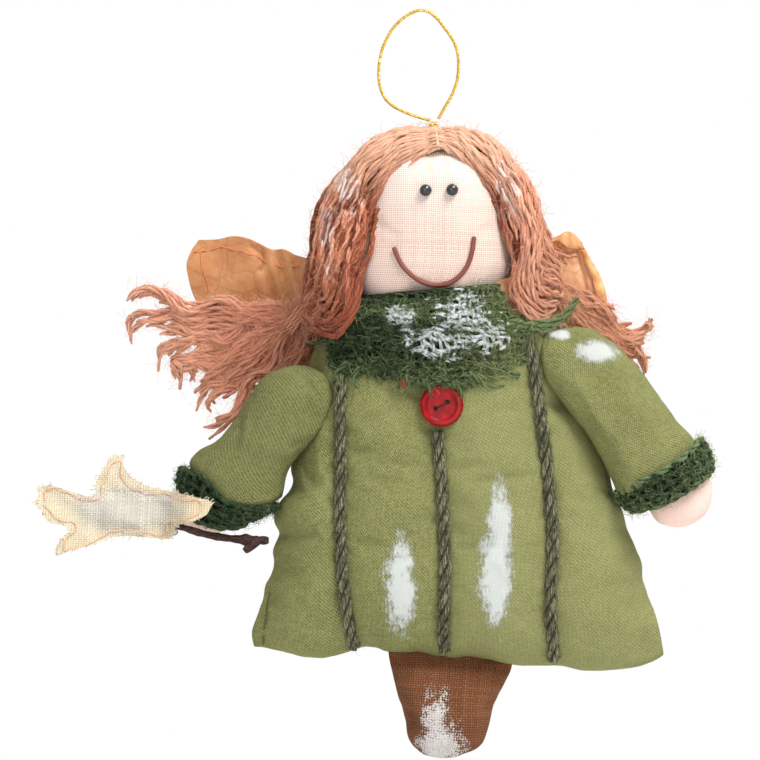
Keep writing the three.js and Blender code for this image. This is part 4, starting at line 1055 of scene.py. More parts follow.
# Painted light on the top and sides of the hair and on the left tail's ends, painted shade on its lower part
# and between the plies; the dabs are its white paint.
hair_yarn = yarn_material("hair_yarn", ((110, 46, 28), (184, 100, 70), (242, 178, 144)), 2200.0, 2.2,
                          0.00026, [(-17.4, -9, -42.6, 3.6, 16, 7, 2.6), (21.4, -9, -43, 4, 16, 9, 2.6),
                           (-22, -7, -52, 2, 16, 8, 2.8)],
                          [(2, -52, -68, 0.52, (136, 64, 42)), (2, -48, -31, 0.74, (253, 204, 172)),
                           (0, 17, 27, 0.5, (250, 188, 156)), (0, -25, -31, 0.6, (230, 158, 130)),
                           (0, -40, -58, 0.5, (248, 190, 160))],
                          (246, 226, 216), (1.0, 1.0, 0.2), vary=0.95, grain=1.7, painted_valley_shade=0.72, chosen=0.45)
hair_fibre = yarn_material("hair_fibre", ((206, 130, 94), (240, 176, 138), (252, 212, 182)), 900.0, 2.0,
                           0.00005, painted_valley_shade=0.9)
# A dark sheet under the strands: painted shade that shows in the gaps between them.
hair_shade_base = plain_material("hair_shade_backing", (70, 30, 20), (128, 68, 48), 1400.0, 0.0004, 0.9, 0.1, 3.0,
                           stretch=(1.0, 1.0, 0.2))
for side, seed, each, lean_angle in (("left", 21, 9, 0.6), ("right", 22, 12, -0.55)):
    chance = np.random.default_rng(seed)
    tie = hair_ties[side]
    sheet = hair_sheet(hair_guides[side], tie)
    # The painted-shade sheet lies just under the strands, towards the head.
    under_sheet = (sheet - off_the_head(sheet) * 0.9)[4::2].transpose(1, 0, 2)
    shaped_piece("hair_shade_backing_" + side, shell(under_sheet, 0.5, flip=(side == "right")), "doll",
                 hair_shade_base)
    paths = draped_strands(sheet, chance)
    if side == "left":
        parting = line_through([(5, -10.4, -33.4), (4.7, -7.6, -31), (4.4, -3, -29), (4.2, 2, -28.6),
                                (4.2, 8, -31), (4.1, 12.4, -38), (4, 14, -48), (4, 15.4, -57),
                                (4, 15.4, -65)], 46)
        step = np.linspace(-1, 1, 14)
        for middle in parting:
            path = middle + xyz(step * chance.uniform(2.6, 3.6), 0, 0.5 - 1.5 * step ** 2)
            path[:, 1] += wavering(chance, 14, 0.4, 4)
            paths.append(path)
    draped = len(paths)
    paths += tail_strands(hair_locks[side], tie, each, chance)
    if side == "right":
        paths += tail_strands([[(27.4, -60.6), (30, -58.4), (33.6, -58.2), (37, -57)]], (24, 6, -62), 5,
                              chance)
    # The tails' tones are lifted a little: painted light on them.
    for part, chosen, frizz, painted_light_tone in (("strands", paths[:draped], 8.5, 0.0),
                                       ("tails", paths[draped:], 40.0, 0.05)):
        widths = [chance.uniform(1.1, 1.65)
                  * np.interp(np.linspace(0, 1, len(path)), [0, 0.06, 0.93, 1], [0.8, 1, 1, 0.5])
                  for path in chosen]
        tones = [chance.uniform(0, 1) + painted_light_tone for path in chosen]
        strands = yarn_piece(f"hair_{part}_{side}", chosen, widths, tones, hair_yarn, 2, 1.15, 4, "doll",
                             "hair_yarn", ["hair_" + side])
        fuzz_piece(f"hair_fuzz_{part}_{side}", strands, frizz, 3.8, 0.07, seed, hair_fibre, "doll")
    angle = np.linspace(0, TURN, 40)
    wraps = [xyz((number - 1.5) * 0.8, 4.0 * np.cos(angle), 5.2 * np.sin(angle)) @ about_y(lean_angle).T
             + np.array(tie) for number in range(4)]
    yarn_piece("hair_wrap_" + side, wraps, [1.0] * 4, [0.6, 0.9, 0.7, 0.8], hair_yarn, 2, 2.2, 5, "doll",
               "hair_yarn", ["hair_tie_" + side])

# Twine over the coat's three seams, and a dark cord along part of its side seam, standing for the shade in
# the seam's fold
twine_lines = {
    "left": [(-18.2, -87), (-18.5, -98), (-18.4, -106), (-18.6, -122), (-17.9, -136), (-16.4, -147),
             (-15.2, -152.4)],
    "centre": [(4.6, -100.6), (5.3, -110.5), (6.1, -124), (6.3, -134), (6.1, -146), (6.2, -153.2)],
    "right": [(25.6, -77.6), (26.8, -82), (28.2, -90), (30.3, -106.7), (31.9, -126), (31.5, -144),
              (32.5, -155.4)]}
# Painted shade between the twine's three plies.
twine_yarn = yarn_material("twine_jute", ((38, 36, 24), (84, 83, 60), (172, 170, 136)), 500.0, 4.2, 0.0006,
                           grain=3.0, painted_valley_shade=0.24)
for name, route in twine_lines.items():
    x, z = line_through(route, 90).T
    run = xyz(x, smoothed(coat_surface(x, z), 6) - 1.25, z)
    twine = yarn_piece("twine_" + name, [run], [3.3], [0.5], twine_yarn, 3, 0.75, 10, "doll", "twine",
                       ["coat_twine_" + name])
    fuzz_piece("twine_fuzz_" + name, twine, 90.0, 2.0, 0.07, 5, twine_yarn, "doll")
x, z = line_through([(-35.6, -139), (-36.2, -143), (-36.8, -148), (-37.2, -151.8)], 40).T
# A dark cord that paints the shade along the side seam's fold.
seam_shade_cord = yarn_material("seam_shade_cord", ((60, 62, 34), (92, 94, 54), (122, 124, 74)), 900.0, 2.0, 0.0001)
yarn_piece("coat_side_seam_shade", [xyz(x, coat_surface(x, z) - 0.25, z)], [0.42], [0.4], seam_shade_cord, 1, 1.0, 6,
           "doll", "coat_cloth")

# Scarf: loose weave of fuzzy yarn round the neck and down over the chest
SCARF_ROWS = 18
SCARF_COLUMNS = 30
RING_ROWS = 6
RING_POSTS = 48
NECK_X = 3.5
NECK_Y = 0.4
NECK_Z = -72.3
NECK_SLOPE = 0.09
scarf_top, scarf_bottom, scarf_left, scarf_right = [line_through(edge, 101) for edge in (
    [(-16.5, -70.4), (-13.9, -69.6), (-7, -69.2), (0, -68.9), (7.3, -67.6), (13.4, -66.4), (17, -66.2),
     (19.4, -66.4)],
    [(-19.6, -88.6), (-14, -87.4), (-9, -87.4), (-4, -88.6), (2, -89.8), (8, -90.2), (15, -89.6),
     (21, -87.8)],
    [(-16.5, -70.4), (-21, -76), (-21.4, -81), (-19.6, -88.6)],
    [(19.4, -66.4), (20.6, -70.4), (23.6, -74.6), (26.8, -77.4), (26.6, -81.6), (21, -87.8)])]


def along_edge(line, share):
    return np.stack([np.interp(share * 100, np.arange(101), line[:, axis]) for axis in (0, 1)], -1)


def scarf_place(across_share, down_share):
    """A place on the scarf's sheet, bowed between its four edges."""
    across_share = np.asarray(across_share, float)
    down_share = np.asarray(down_share, float)
    over = across_share[..., None]
    flow = down_share[..., None]
    place = ((1 - over) * along_edge(scarf_left, down_share) + over * along_edge(scarf_right, down_share)
             + (1 - flow) * along_edge(scarf_top, across_share)
             + flow * along_edge(scarf_bottom, across_share)
             - (1 - over) * (1 - flow) * scarf_left[0] - over * (1 - flow) * scarf_right[0]
             - (1 - over) * flow * scarf_left[-1] - over * flow * scarf_right[-1])
    bow = np.sqrt(np.maximum(0.02, 1 - ((place[..., 0] - NECK_X) / 27.5) ** 2))
    y = -(5.2 + 10.2 * bow) + 1.6 * np.maximum(0, 0.25 - down_share) * 4 + 1.4 * down_share ** 3
    return xyz(place[..., 0], y, place[..., 1])


# Painted light on the right side and the bottom of the scarf, and painted shade between its plies.
scarf_yarn = yarn_material("scarf_yarn", ((20, 32, 17), (48, 62, 40), (98, 114, 74)), 1500.0, 2.4, 0.0003,
                           [(-4.6, -15, -73.4, 3.8, 14, 3.2, 1.8), (4.8, -15, -79.2, 9, 14, 4.4, 2.0),
                            (10.6, -15, -73, 7, 14, 5, 3.0), (17, -15, -77, 4.4, 14, 5, 3.2)],
                           [(0, 4, 22, 0.45, (136, 150, 98)), (2, -84, -90, 0.4, (130, 144, 94))],
                           vary=0.8, grain=1.8)
# Painted light on the right side of the scarf's loose fibres.
scarf_fibre = yarn_material("scarf_fibre", ((44, 60, 36), (96, 114, 72), (156, 168, 118)), 900.0, 2.0,
                            0.00005, lit=[(0, 2, 20, 0.7, (176, 188, 130))], vary=1.0)
# A very dark sheet behind the loose weaves of the scarf and cuffs: painted shade seen through their gaps.
scarf_shade_back = plain_material("scarf_shade_backing", (12, 20, 10), (34, 46, 28), 900.0, 0.0003, 0.95, 0.1, 3.0)
chance = np.random.default_rng(31)
# The painted-shade sheet just behind the scarf's weave.
under = scarf_place(*np.meshgrid(np.linspace(0.0, 1.0, 60), np.linspace(0.0, 1.0, 40)))
under[..., 1] += 0.9
shaped_piece("scarf_shade_backing", shell(under, 0.5), "doll", scarf_shade_back, ["scarf_bib"])
strands = []
for row in range(SCARF_ROWS):
    across_share = np.linspace(-chance.uniform(0, 0.04), 1.0 + chance.uniform(0, 0.05), 150)
    wander = wavering(chance, 150, 0.008, 20)
    place = scarf_place(np.clip(across_share, -0.05, 1.05),
                        np.clip((row + 0.35) / SCARF_ROWS + wander, 0, 1.02))
    weave_in = np.sin(np.pi * across_share * SCARF_COLUMNS + np.pi * (row % 2))
    place[:, 1] -= 0.35 + 0.42 * weave_in
    place[:, 2] += (0.34 * np.sin(np.pi * across_share * SCARF_COLUMNS * 0.5 + row)
                    + wavering(chance, 150, 0.4, 8))
    strands.append((place, chance.uniform(0.95, 1.25), chance.uniform(0, 1)))
for column in range(SCARF_COLUMNS):
    down_share = np.linspace(-0.01, 1.0 + chance.uniform(0, 0.06), 90)
    wander = wavering(chance, 90, 0.006, 16)
    place = scarf_place(np.clip((column + 0.5) / SCARF_COLUMNS + wander, 0, 1), down_share)
    weave_in = np.sin(np.pi * down_share * SCARF_ROWS + np.pi * (column % 2))
    place[:, 1] -= 0.35 - 0.42 * weave_in
    place[:, 0] += wavering(chance, 90, 0.4, 8)
    strands.append((place, chance.uniform(0.8, 1.1), chance.uniform(0, 1)))
scarf_frays = [
    [(-18, -13, -77), (-22, -10.5, -79.4), (-27, -8.4, -79.4)],
    [(-18, -13, -79), (-21, -11, -81), (-21.6, -10.6, -80)],
    [(-17, -13, -84), (-19.6, -12.4, -87), (-18, -12.8, -90.4)],
    [(-14, -13.6, -85), (-15.4, -13.6, -88), (-14.4, -13.6, -90.4)],
    [(-6, -15, -86), (-5, -15, -88.6), (-4.6, -15, -90.4)],
    [(-3, -15.2, -87), (-2.4, -15, -89.4), (-3.4, -15, -91.4)],
    [(1, -15.4, -88), (2.6, -15.6, -90.6), (3, -15.4, -92.2)],
    [(8, -15.4, -88.6), (10, -15.4, -91), (10.4, -15.2, -92.6)],
    [(13, -15, -87), (17, -14.6, -89.8), (20.4, -13.8, -89.7)],
    [(12, -15, -86.4), (17, -14.4, -87.8), (24, -12.6, -87.6)],
    [(14, -14.8, -84.6), (19, -14, -86), (24.2, -12.6, -87)],
    [(19, -13.8, -82.6), (23, -12.6, -83), (26, -11.4, -81.4)],
    [(22, -13, -78.6), (26, -11.6, -79), (28.8, -10.6, -76)],
    [(22, -13, -77), (27, -11, -76.4), (31.6, -10, -75)],
    [(24, -12.4, -75.6), (30, -10.2, -74.8), (35.5, -9.2, -72.2), (38.2, -8.8, -68.8)],
    [(24, -12, -76.4), (30, -10, -75.6), (36.2, -9, -72.6)],
    [(-16, -13.4, -75), (-20.6, -11.6, -77), (-25, -9.4, -80)]]
for fray in scarf_frays:
    strands.append((line_through(fray, 30), np.linspace(1.25, 0.7, 30), chance.uniform(0.3, 1)))
rolled_end = line_through([(21, -13, -74.6), (26, -11.6, -75), (31, -10.4, -75), (35, -9.4, -73),
                           (37.6, -9, -69.6)], 40)
for start_angle in (0.0, 2.1, 4.2):
    turn = start_angle + np.linspace(0, 9, 40)
    rolled = rolled_end + xyz(0.3 * np.cos(turn), 0.8 * np.sin(turn), 0.8 * np.cos(turn))
    strands.append((rolled, np.linspace(1.7, 1.3, 40), 0.9))
scarf = yarn_piece("scarf_weave", *zip(*strands), scarf_yarn, 2, 1.6, 4, "doll", "scarf_yarn",
                   ["scarf_end_left", "scarf_end_right"])
fuzz_piece("scarf_fuzz", scarf, 119.0, 2.6, 0.08, 9, scarf_fibre, "doll")


def neck_distance(level):
    return 16 + 2.3 * np.sqrt(np.maximum(0.1, 1 - level ** 2 * 0.8))


ring_rows = []
for row in range(RING_ROWS):
    angle = np.linspace(0, TURN, 160)
    level = row / (RING_ROWS - 1) * 2 - 1
    out = neck_distance(level) + 0.3 * np.sin(angle * 24 + np.pi * row)
    x = NECK_X + out * 1.14 * np.sin(angle)
    ring_rows.append(xyz(x, NECK_Y - out * 0.85 * np.cos(angle), NECK_Z - level * 5.0
                         + NECK_SLOPE * (x - NECK_X)))
band_grid = [[(NECK_X + 17.6 * 1.1 * math.sin(a), NECK_Y - 17.6 * 0.83 * math.cos(a),
               NECK_Z - level * 5.6 + NECK_SLOPE * 19 * math.sin(a)) for a in np.linspace(0, TURN, 80)]
             for level in np.linspace(-1, 1, 12)]
# The painted-shade sheet behind the ring round the neck.
shaped_piece("scarf_ring_shade_backing", shell(band_grid, 0.8), "doll", scarf_shade_back, ["scarf_band"])
ring_posts = []
for column in range(RING_POSTS):
    angle = TURN * (column + 0.5) / RING_POSTS
    level = np.linspace(-1, 1, 16)
    out = neck_distance(level) + 0.3 * np.cos(np.pi * (level + 1) * 2.5 + column * np.pi)
    x = NECK_X + out * 1.14 * math.sin(angle)
    ring_posts.append(xyz(x, NECK_Y - out * 0.85 * math.cos(angle),
                          NECK_Z - level * 5.2 + NECK_SLOPE * (x - NECK_X)))
yarn_piece("scarf_ring", ring_rows + ring_posts, [1.35] * RING_ROWS + [1.1] * RING_POSTS,
           list(chance.uniform(0, 1, RING_ROWS + RING_POSTS)), scarf_yarn, 2, 1.6, 4, "doll", "scarf_yarn")
red_bits = [line_through([(-3.8, -16.6, -88.6), (-3.4, -17, -89.4), (-3.9, -16.7, -90.2)], 8),
            line_through([(4.2, -16.4, -90.8), (4.9, -16.8, -91.6), (4.4, -16.6, -92.2)], 8)]
red_fibre = yarn_material("red_thread", ((120, 20, 26), (176, 44, 48), (206, 74, 74)), 900.0, 2.0, 0.0001)
yarn_piece("red_bits", red_bits, [0.5, 0.5], [0.5, 0.5], red_fibre, 1, 1.0, 6, "doll", "scarf_yarn")

# Cuffs: rows of a darker yarn in a loose basket weave round each wrist
CUFF_ROWS = 5
CUFF_POSTS = 26
ROW_GAP = 0.46
edge_marks = [-1, -0.5, 0, 0.4, 0.8, 1]
cuffs = {
    "left": ((-46, -117), (-0.2, -0.98),
             [[-5.6, -4.6, -0.2, 0.9, -0.6, -1.4], [1.2, 6.8, 7.1, 5.9, 2.4, 0.4]],
             [[-5.6, -3.8, -1.8, -1.2, -1.4, -1.4], [1.2, 3.9, 4.7, 3.9, 1.9, 0.4]], 41, 0.4),
    "right": ((58.9, -111.2), (0.478, -0.878),
              [[-2.2, -2.2, -2.0, -2.2, -3.1, -3.8], [4.2, 5.8, 5.8, 5.6, 5.1, 4.4]],
              [[-2.2, -2.4, -2.6, -2.8, -3.3, -3.8], [4.2, 4.6, 4.8, 4.8, 4.6, 4.4]], 42, 1.4)}
cuff_yarn = yarn_material("cuff_yarn", ((20, 36, 20), (48, 67, 42), (112, 132, 92)), 1500.0, 2.4, 0.0003,
                          grain=2.0)
for side, ((cuff_x, cuff_z), (axis_x, axis_z), front_edges, back_edges, seed, first_tone) in cuffs.items():
    chance = np.random.default_rng(seed)
    arm = "arm_" + side

    def cuff_place(angle, share, lift):
        """A place on the cuff's oval ring: share runs along the wrist, lift is how far it stands off."""
        grow = 1 - 0.08 * share ** 2 - 0.05 * share
        across_way = (11.8 * grow + lift) * np.cos(angle)
        y = -4 - (9.6 * grow + lift) * np.sin(angle)
        upper, lower = [np.where(np.sin(angle) > 0, np.interp(np.cos(angle), edge_marks, front_edge),
                                 np.interp(np.cos(angle), edge_marks, back_edge))
                        for front_edge, back_edge in zip(front_edges, back_edges)]
        run = (upper + lower) / 2 + share * (lower - upper) / 2
        return xyz(cuff_x + axis_x * run - axis_z * across_way, y, cuff_z + axis_z * run
                   + axis_x * across_way)

    angles, shares = np.meshgrid(np.linspace(0, TURN, 90), np.linspace(-1, 1, 12))
    # The painted-shade sheet inside the cuff's weave.
    shaped_piece("cuff_shade_backing_" + side, shell(cuff_place(angles, shares, -0.6), 0.6, flip=True), arm,
                 scarf_shade_back)
    paths = []
    for row in range(CUFF_ROWS):
        angle = np.linspace(0, TURN, 200)
        share = -0.92 + row * ROW_GAP + wavering(chance, 200, 0.03, 20)
        paths.append(cuff_place(angle, share, 0.15 + 0.5 * np.sin(angle * 13 + np.pi * row)))
    for column in range(CUFF_POSTS):
        share = np.linspace(-0.98, 0.98, 30)
        angle = TURN * (column + 0.5) / CUFF_POSTS + wavering(chance, 30, 0.015, 8)
        stand = 0.15 - 0.5 * np.cos(np.pi * (share + 0.92) / ROW_GAP + np.pi * (column % 2))
        paths.append(cuff_place(angle, share, stand))
    widths = [1.5] + [1.25] * (CUFF_ROWS - 2) + [1.5] + [1.25] * CUFF_POSTS
    tones = [first_tone] + list(chance.uniform(0, 1, len(paths)))[1:]
    cuff = yarn_piece("cuff_weave_" + side, paths, widths, tones, cuff_yarn, 2, 1.6, 5, arm, "scarf_yarn",
                      ["cuff_" + side])
    fuzz_piece("cuff_fuzz_" + side, cuff, 110.0, 2.2, 0.08, seed, scarf_fibre, arm)

# Wings: crumpled waxed paper cloth, stitched near its edge
wing_edges = {
    "left": ([(3.7, -75.6), (-10, -68), (-20, -62.4), (-26.6, -58.8), (-29.8, -57.8), (-32.9, -56.4),
              (-35, -56.6), (-38.6, -55), (-41.3, -53.8), (-44.9, -53.3), (-48.5, -54), (-53.3, -54.2)],
             [(3.7, -82), (-14, -87), (-32, -87), (-44, -83.6), (-51, -76), (-53, -70.8), (-54.5, -67.9),
              (-55.7, -63.8), (-56.2, -59.8), (-54.9, -56.4)]),
    "right": ([(4.1, -75.6), (14, -68), (25, -58.6), (31, -54.4), (34.1, -53.3), (36.5, -52.1), (39.4, -54),
               (40.6, -56.4)],
              [(4.1, -82), (16, -87), (28, -88), (38, -86), (44, -80.6), (46.6, -75), (46.6, -71.3),
               (45.8, -66.7), (44.9, -63.8), (42.5, -60)])}
wing_seams = {
    "left": [[(-54.6, -57.4), (-52.5, -57.1), (-49, -56.2), (-43.2, -56.8), (-38.6, -58.6), (-36.8, -59.5),
              (-33.9, -60.4), (-28, -60.7)],
             [(-52.8, -57.3), (-52.5, -60.6), (-51.4, -63.8), (-50.8, -66.8)]],
    "right": [[(32.2, -56), (34.6, -56.6), (36.6, -58.2), (39.2, -57.9)]]}
wing_folds = {"left": [(-40.6, -55.4), (-37.4, -58.6), (-38.2, -61.4)],
              "right": [(31, -56.2), (33.6, -55.8), (36.2, -57.4), (38.8, -57.2), (39.8, -60.2), (40.9, -64),
                        (42, -70)]}
# The right wing's shades are paler than the left's: painted light from the key lamp on the right.
wing_colours = {"left": ((182, 118, 70), (206, 148, 98), (158, 98, 58)),
                "right": ((206, 138, 90), (240, 190, 146), (164, 100, 60))}
flap_edges = ([(29.6, -54.8), (31.6, -54.6), (34.1, -53.6), (36.5, -52.4), (39.2, -54.1), (40.4, -56.2)],
              [(31, -55.2), (32.8, -54.7), (34.4, -54.8), (35.6, -55.4), (36.6, -56.3), (38.2, -56.4),
               (40, -56.5)])
strip_edges = ([(39.6, -56.6), (41, -60), (42.6, -64), (43.6, -69), (43.8, -74)],
               [(40.8, -56.6), (42.8, -60.6), (45, -64.4), (46, -68), (46.6, -74)])


def wing_material(name, deep, pale, dark):
    """Waxed paper cloth, mottled, with painted light and shade on its crumpled facets and painted shade along
    their edges and its creases.
    """
    material, tree, shader, place = new_material(name)
    mottled = noise(tree, place, 110.0, 4.0, 0.6)
    warped = vector(tree, "ADD", place, vector(tree, "MULTIPLY", mottled, (0.006, 0.006, 0.006)))
    cell_size = (("Vector", warped), ("Scale", 150.0))
    cells = put(tree, "ShaderNodeTexVoronoi", cell_size).outputs["Color"]
    crumple_edges = put(tree, "ShaderNodeTexVoronoi", cell_size, feature="DISTANCE_TO_EDGE").outputs[0]
    painted_facet_light = put(tree, "ShaderNodeSeparateColor", ((0, cells),)).outputs[0]
    fine = noise(tree, vector(tree, "MULTIPLY", place, (1.0, 1.0, 0.25)), 900.0, 3.0)
    base = mixed(tree, ramp(tree, mottled, 0.3, 0.7), deep, pale)
    # Painted light: each crumpled facet is paler by a different amount.
    base = mixed(tree, calc(tree, "MULTIPLY", painted_facet_light, 0.4), base, pale)
    # Painted shade along the facets' edges and along the creases.
    base = mixed(tree, ramp(tree, crumple_edges, 0.0, 0.05, 0.4, 0.0), base, dark)
    base = mixed(tree, ramp(tree, attribute(tree, "crease"), 0.15, 0.9, 0.0, 0.8), base, dark)
    base = mixed(tree, calc(tree, "MULTIPLY", fine, 0.2), base, pale)
    surface(shader, 0.5, 0.3)
    finish_material(tree, shader, base, calc(tree, "MULTIPLY_ADD", fine, 0.4, mottled), 0.0006)
    return material


def on_wing(front, line, lift):
    """Points of a flat line lifted off the wing's crumpled front."""
    x, z = line_through(line, 60).T
    return xyz(x, smoothed(front[nearest(front, x, z), 1], 3) - lift, z)


def wing_part(name, shape, material, extra=None):
    return shaped_piece(name, shape, "doll", material, extra=extra)


def right_wing_parts(front, wing_paper):
    """The right wing's flap, the fold along its edge and the fold that shows beside the neck."""
    share = np.linspace(0, 1, 14)[:, None, None]
    flap_paper = plain_material("wing_flap", (214, 142, 88), (240, 188, 130), 260.0, 0.0006, 0.5, 0.3, 4.0,
                                0.6, steps=(0.3, 0.7))
    parts = []
    for name, edges, lifts, bow, axis, waves in (("wing_flap", flap_edges, (0.6, 0.8), 0.2, 0, 2.2),
                                                 ("wing_edge_fold", strip_edges, (0.5, 0.5), 0.3, 2, 1.3)):
        upper, lower = [on_wing(front, edge, lift) for edge, lift in zip(edges, lifts)]
        grid = upper[None] * (1 - share) + lower[None] * share
        grid[..., 1] -= bow * np.sin(np.pi * share[..., 0]) + 0.2 * np.sin(grid[..., axis] * waves)
        parts.append(wing_part(name, shell(grid, 0.2), flap_paper))
    over, down = np.meshgrid(np.linspace(0, 1, 16), np.linspace(0, 1, 24))
    grid = xyz(18.6 + 5.6 * over + 1.2 * down, -8.4 - 1.6 * down + 1.4 * over
               + 0.5 * np.sin(5 * over + 7 * down), -64.6 - 9.4 * down + 1.4 * over)
    points, faces = shell(grid, 0.2)
    # Painted shade in bands across the fold beside the neck.
    creased = {"crease": 0.45 + 0.4 * np.sin(points[:, 0] * 1.1 + points[:, 2])}
    parts.append(wing_part("wing_fold_at_neck", (points, faces), wing_paper, creased))
    return parts


for side, seed in (("left", 51), ("right", 52)):
    chance = np.random.default_rng(seed)
    wing_paper = wing_material("wing_paper_" + side, *[colour(*shade) for shade in wing_colours[side]])
    upper, lower = [line_through(edge, 120) for edge in wing_edges[side]]
    share = np.linspace(0, 1, 80)[:, None, None]
    flat = upper[None] * (1 - share) + lower[None] * share
    x = flat[..., 0]
    z = flat[..., 1]
    # crease marks where the paper folds, for painted shade along the folds.
    crumple = np.zeros_like(x)
    crease = np.zeros_like(x)
    for number in range(18):
        angle = chance.uniform(0, np.pi)
        period = chance.uniform(4, 10)
        bent = 1.2 * np.sin(0.3 * (z * math.cos(angle) - x * math.sin(angle)))
        run = (x * math.cos(angle) + z * math.sin(angle) + bent)
        fold = np.abs((run / period + chance.uniform(0, 6)) % 2 - 1)
        size = chance.uniform(0.15, 0.5)
        crumple += fold * size
        crease = np.maximum(crease, np.clip((fold - 0.93) / 0.07, 0, 1) * size * 0.8)
    crumple -= crumple.mean()
    if side == "left":
        ruffle = np.exp(-((x + 34) / 5) ** 2) * np.clip((z + 78) / 10, 0, 1)
        ripple = np.sin(1.5 * x + 0.5 * z)
        crumple += 0.9 * ripple * ruffle
        crease = np.maximum(crease, 0.75 * np.clip(ripple, 0, 1) ** 3 * ruffle)
    # Painted shade along the fold line as well.
    fold_line = line_through(wing_folds[side], 60)
    from_fold = np.min(np.hypot(x[..., None] - fold_line[:, 0], z[..., None] - fold_line[:, 1]), axis=-1)
    crease = np.maximum(crease, np.exp(-(from_fold / 0.55) ** 2))
    y = 15.8 + 0.04 * np.abs(x) + crumple * 0.62 + 0.5 * np.exp(-(from_fold / 1.1) ** 2)
    wing_front = xyz(x, y, z)
    creased = {"crease": np.concatenate([crease.ravel(), crease.ravel()])}
    wing = shaped_piece("wing_sheet_" + side, shell(wing_front, 0.22), "doll", wing_paper,
                        ["wing_" + side], extra=creased)
    wing_front = wing_front.reshape(-1, 3)
    size = (float(np.ptp(x)) * MM, float(np.ptp(z)) * MM)
    stitch_yarn = yarn_material("wing_stitch_" + side, ((200, 104, 66), (220, 130, 88), (232, 156, 116)),
                                900.0, 2.0, 0.00005)
    stitches = []
    for line in wing_seams[side]:
        whole = on_wing(wing_front, line, 0.3)
        whole[:, 1] -= 0.12 * np.sin(np.arange(60) * 1.3)
        whole[:, 2] += wavering(chance, 60, 0.12, 4)
        stitches.append(whole)
    going = [yarn_piece("wing_stitch_" + side, stitches, [0.34] * len(stitches), [0.7] * len(stitches),
                        stitch_yarn, 1, 1.0, 6, "doll", "wing_sheet")]
    if side == "right":
        going += right_wing_parts(wing_front, wing_paper)

# Star on its twig, from two layers of stiff gauze
STAR_X = -69.8
STAR_Z = -119
STAR_TILT = 0.63
star_corners = [(-21.4, 2.6), (-20.9, 6), (-18.8, 6.9), (-13.8, 4.3), (-7.8, 3.8), (-6.9, 8.3), (-5.1, 11.7),
                (-3.7, 15.1), (-1.4, 15.7), (-0.7, 11.7), (1.4, 8.9), (5.5, 6.6), (11, 5), (16.5, 3.8),
                (20.9, 2.1), (19.3, -1.3), (15.6, -3.6), (12.4, -4.7), (12.4, -7), (10.5, -8.4), (6.4, -8.1),
                (0, -7.8), (-3.7, -8.4), (-8.3, -10.4), (-12.4, -11.8), (-15.4, -13), (-14.9, -8.7),
                (-12.9, -6.4), (-13.8, -4.7), (-17.5, -3.6), (-19.3, -1.3)]
outline = line_through(star_corners + star_corners[:1], 133)[:-1]
gauze, tree, shader, place = new_material("star_gauze")
chart = cloth_chart(tree)
weave = use(tree, woven, ("Place", chart), ("Pitch", GAUZE_PITCH * MM), ("Slub", 0.5))
base = mixed(tree, weave["Thread"], colour(188, 180, 162), colour(226, 220, 204))
inner = vector(tree, "LENGTH", vector(tree, "DIVIDE", chart, (0.0135, 0.0068, 1.0)))
stained = calc(tree, "MULTIPLY_ADD", noise(tree, place, 120.0, 3.0), 0.5, inner)
rim = ramp(tree, stained, 0.95, 1.5)
base = mixed(tree, calc(tree, "MULTIPLY", rim, 0.6), base, colour(232, 212, 170))
middle_grey = calc(tree, "SUBTRACT", 1.0, ramp(tree, inner, 0.3, 1.0))
base = mixed(tree, calc(tree, "MULTIPLY", middle_grey, 0.5), base, colour(202, 198, 190))
holes = ramp(tree, weave["Height"], 0.26, 0.46, 0.12, 1.0)
holes = calc(tree, "MINIMUM", 1.0, calc(tree, "ADD", holes, calc(tree, "MULTIPLY", middle_grey, 0.7)))
tree.links.new(holes, shader.inputs["Alpha"])
surface(shader, 0.85, 0.2, 0.1)
finish_material(tree, shader, base, weave["Height"], 0.0002)
star_stitch = yarn_material("star_stitch", ((222, 160, 120), (236, 184, 144), (244, 206, 172)), 900.0, 2.0,
                            0.00005)
star_thread = yarn_material("star_thread", ((206, 190, 160), (232, 222, 200), (248, 242, 226)), 900.0, 2.0,
                            0.00005)


def star_point(side_way, up_way, lift):
    """A place on the star's own plane, tilted, and bent back where it meets the cuff."""
    x = STAR_X + side_way
    z = STAR_Z + up_way * math.cos(STAR_TILT)
    bend_share = np.clip((x + 62.5) / 9.5, 0, 1)
    bend_share = bend_share ** 2 * (3 - 2 * bend_share)
    from_twig = np.abs(z + 121.6 + 0.1 * (x + 66))
    on_twig = np.where(x > -72, 1.0, np.exp(-((x + 72) / 3) ** 2))
    bulge = 1.75 * np.exp(-(from_twig / 2.4) ** 2) * on_twig
    y = -10 + up_way * math.sin(STAR_TILT) + 0.5 * np.sin(0.35 * side_way + 0.5 * up_way) - 9 * bend_share
    return xyz(x, y + lift + np.sign(lift) * bulge, z)


count = len(outline)
rings = np.linspace(0.0, 1.0, 24)
star_faces = [[0, 1 + index, 1 + (index + 1) % count] for index in range(count)]
for start in range(1, 1 + (len(rings) - 2) * count, count):
    for index in range(count):
        following = (index + 1) % count
        star_faces.append([start + index, start + count + index, start + count + following, start
                           + following])
for layer_name, lift, seed in (("front", -0.6, 61), ("back", 0.6, 62)):
    chance = np.random.default_rng(seed)
    jag = 1 + 0.05 * wavering(chance, count, 0.5, 2)
    grid = np.array([outline * share * (1 + (jag[:, None] - 1) * share) for share in rings[1:]])
    flat_points = np.concatenate([[[0.0, 0.0]], grid.reshape(-1, 2)])
    points = star_point(flat_points[:, 0], flat_points[:, 1], lift)
    points[:, 1] += 0.35 * np.sin(flat_points[:, 0] * 0.8) * np.cos(flat_points[:, 1] * 0.9)
    shaped_piece("star_layer_" + layer_name, (points, star_faces), "arm_left",
                                    gauze, ["star_" + layer_name], flat_points)
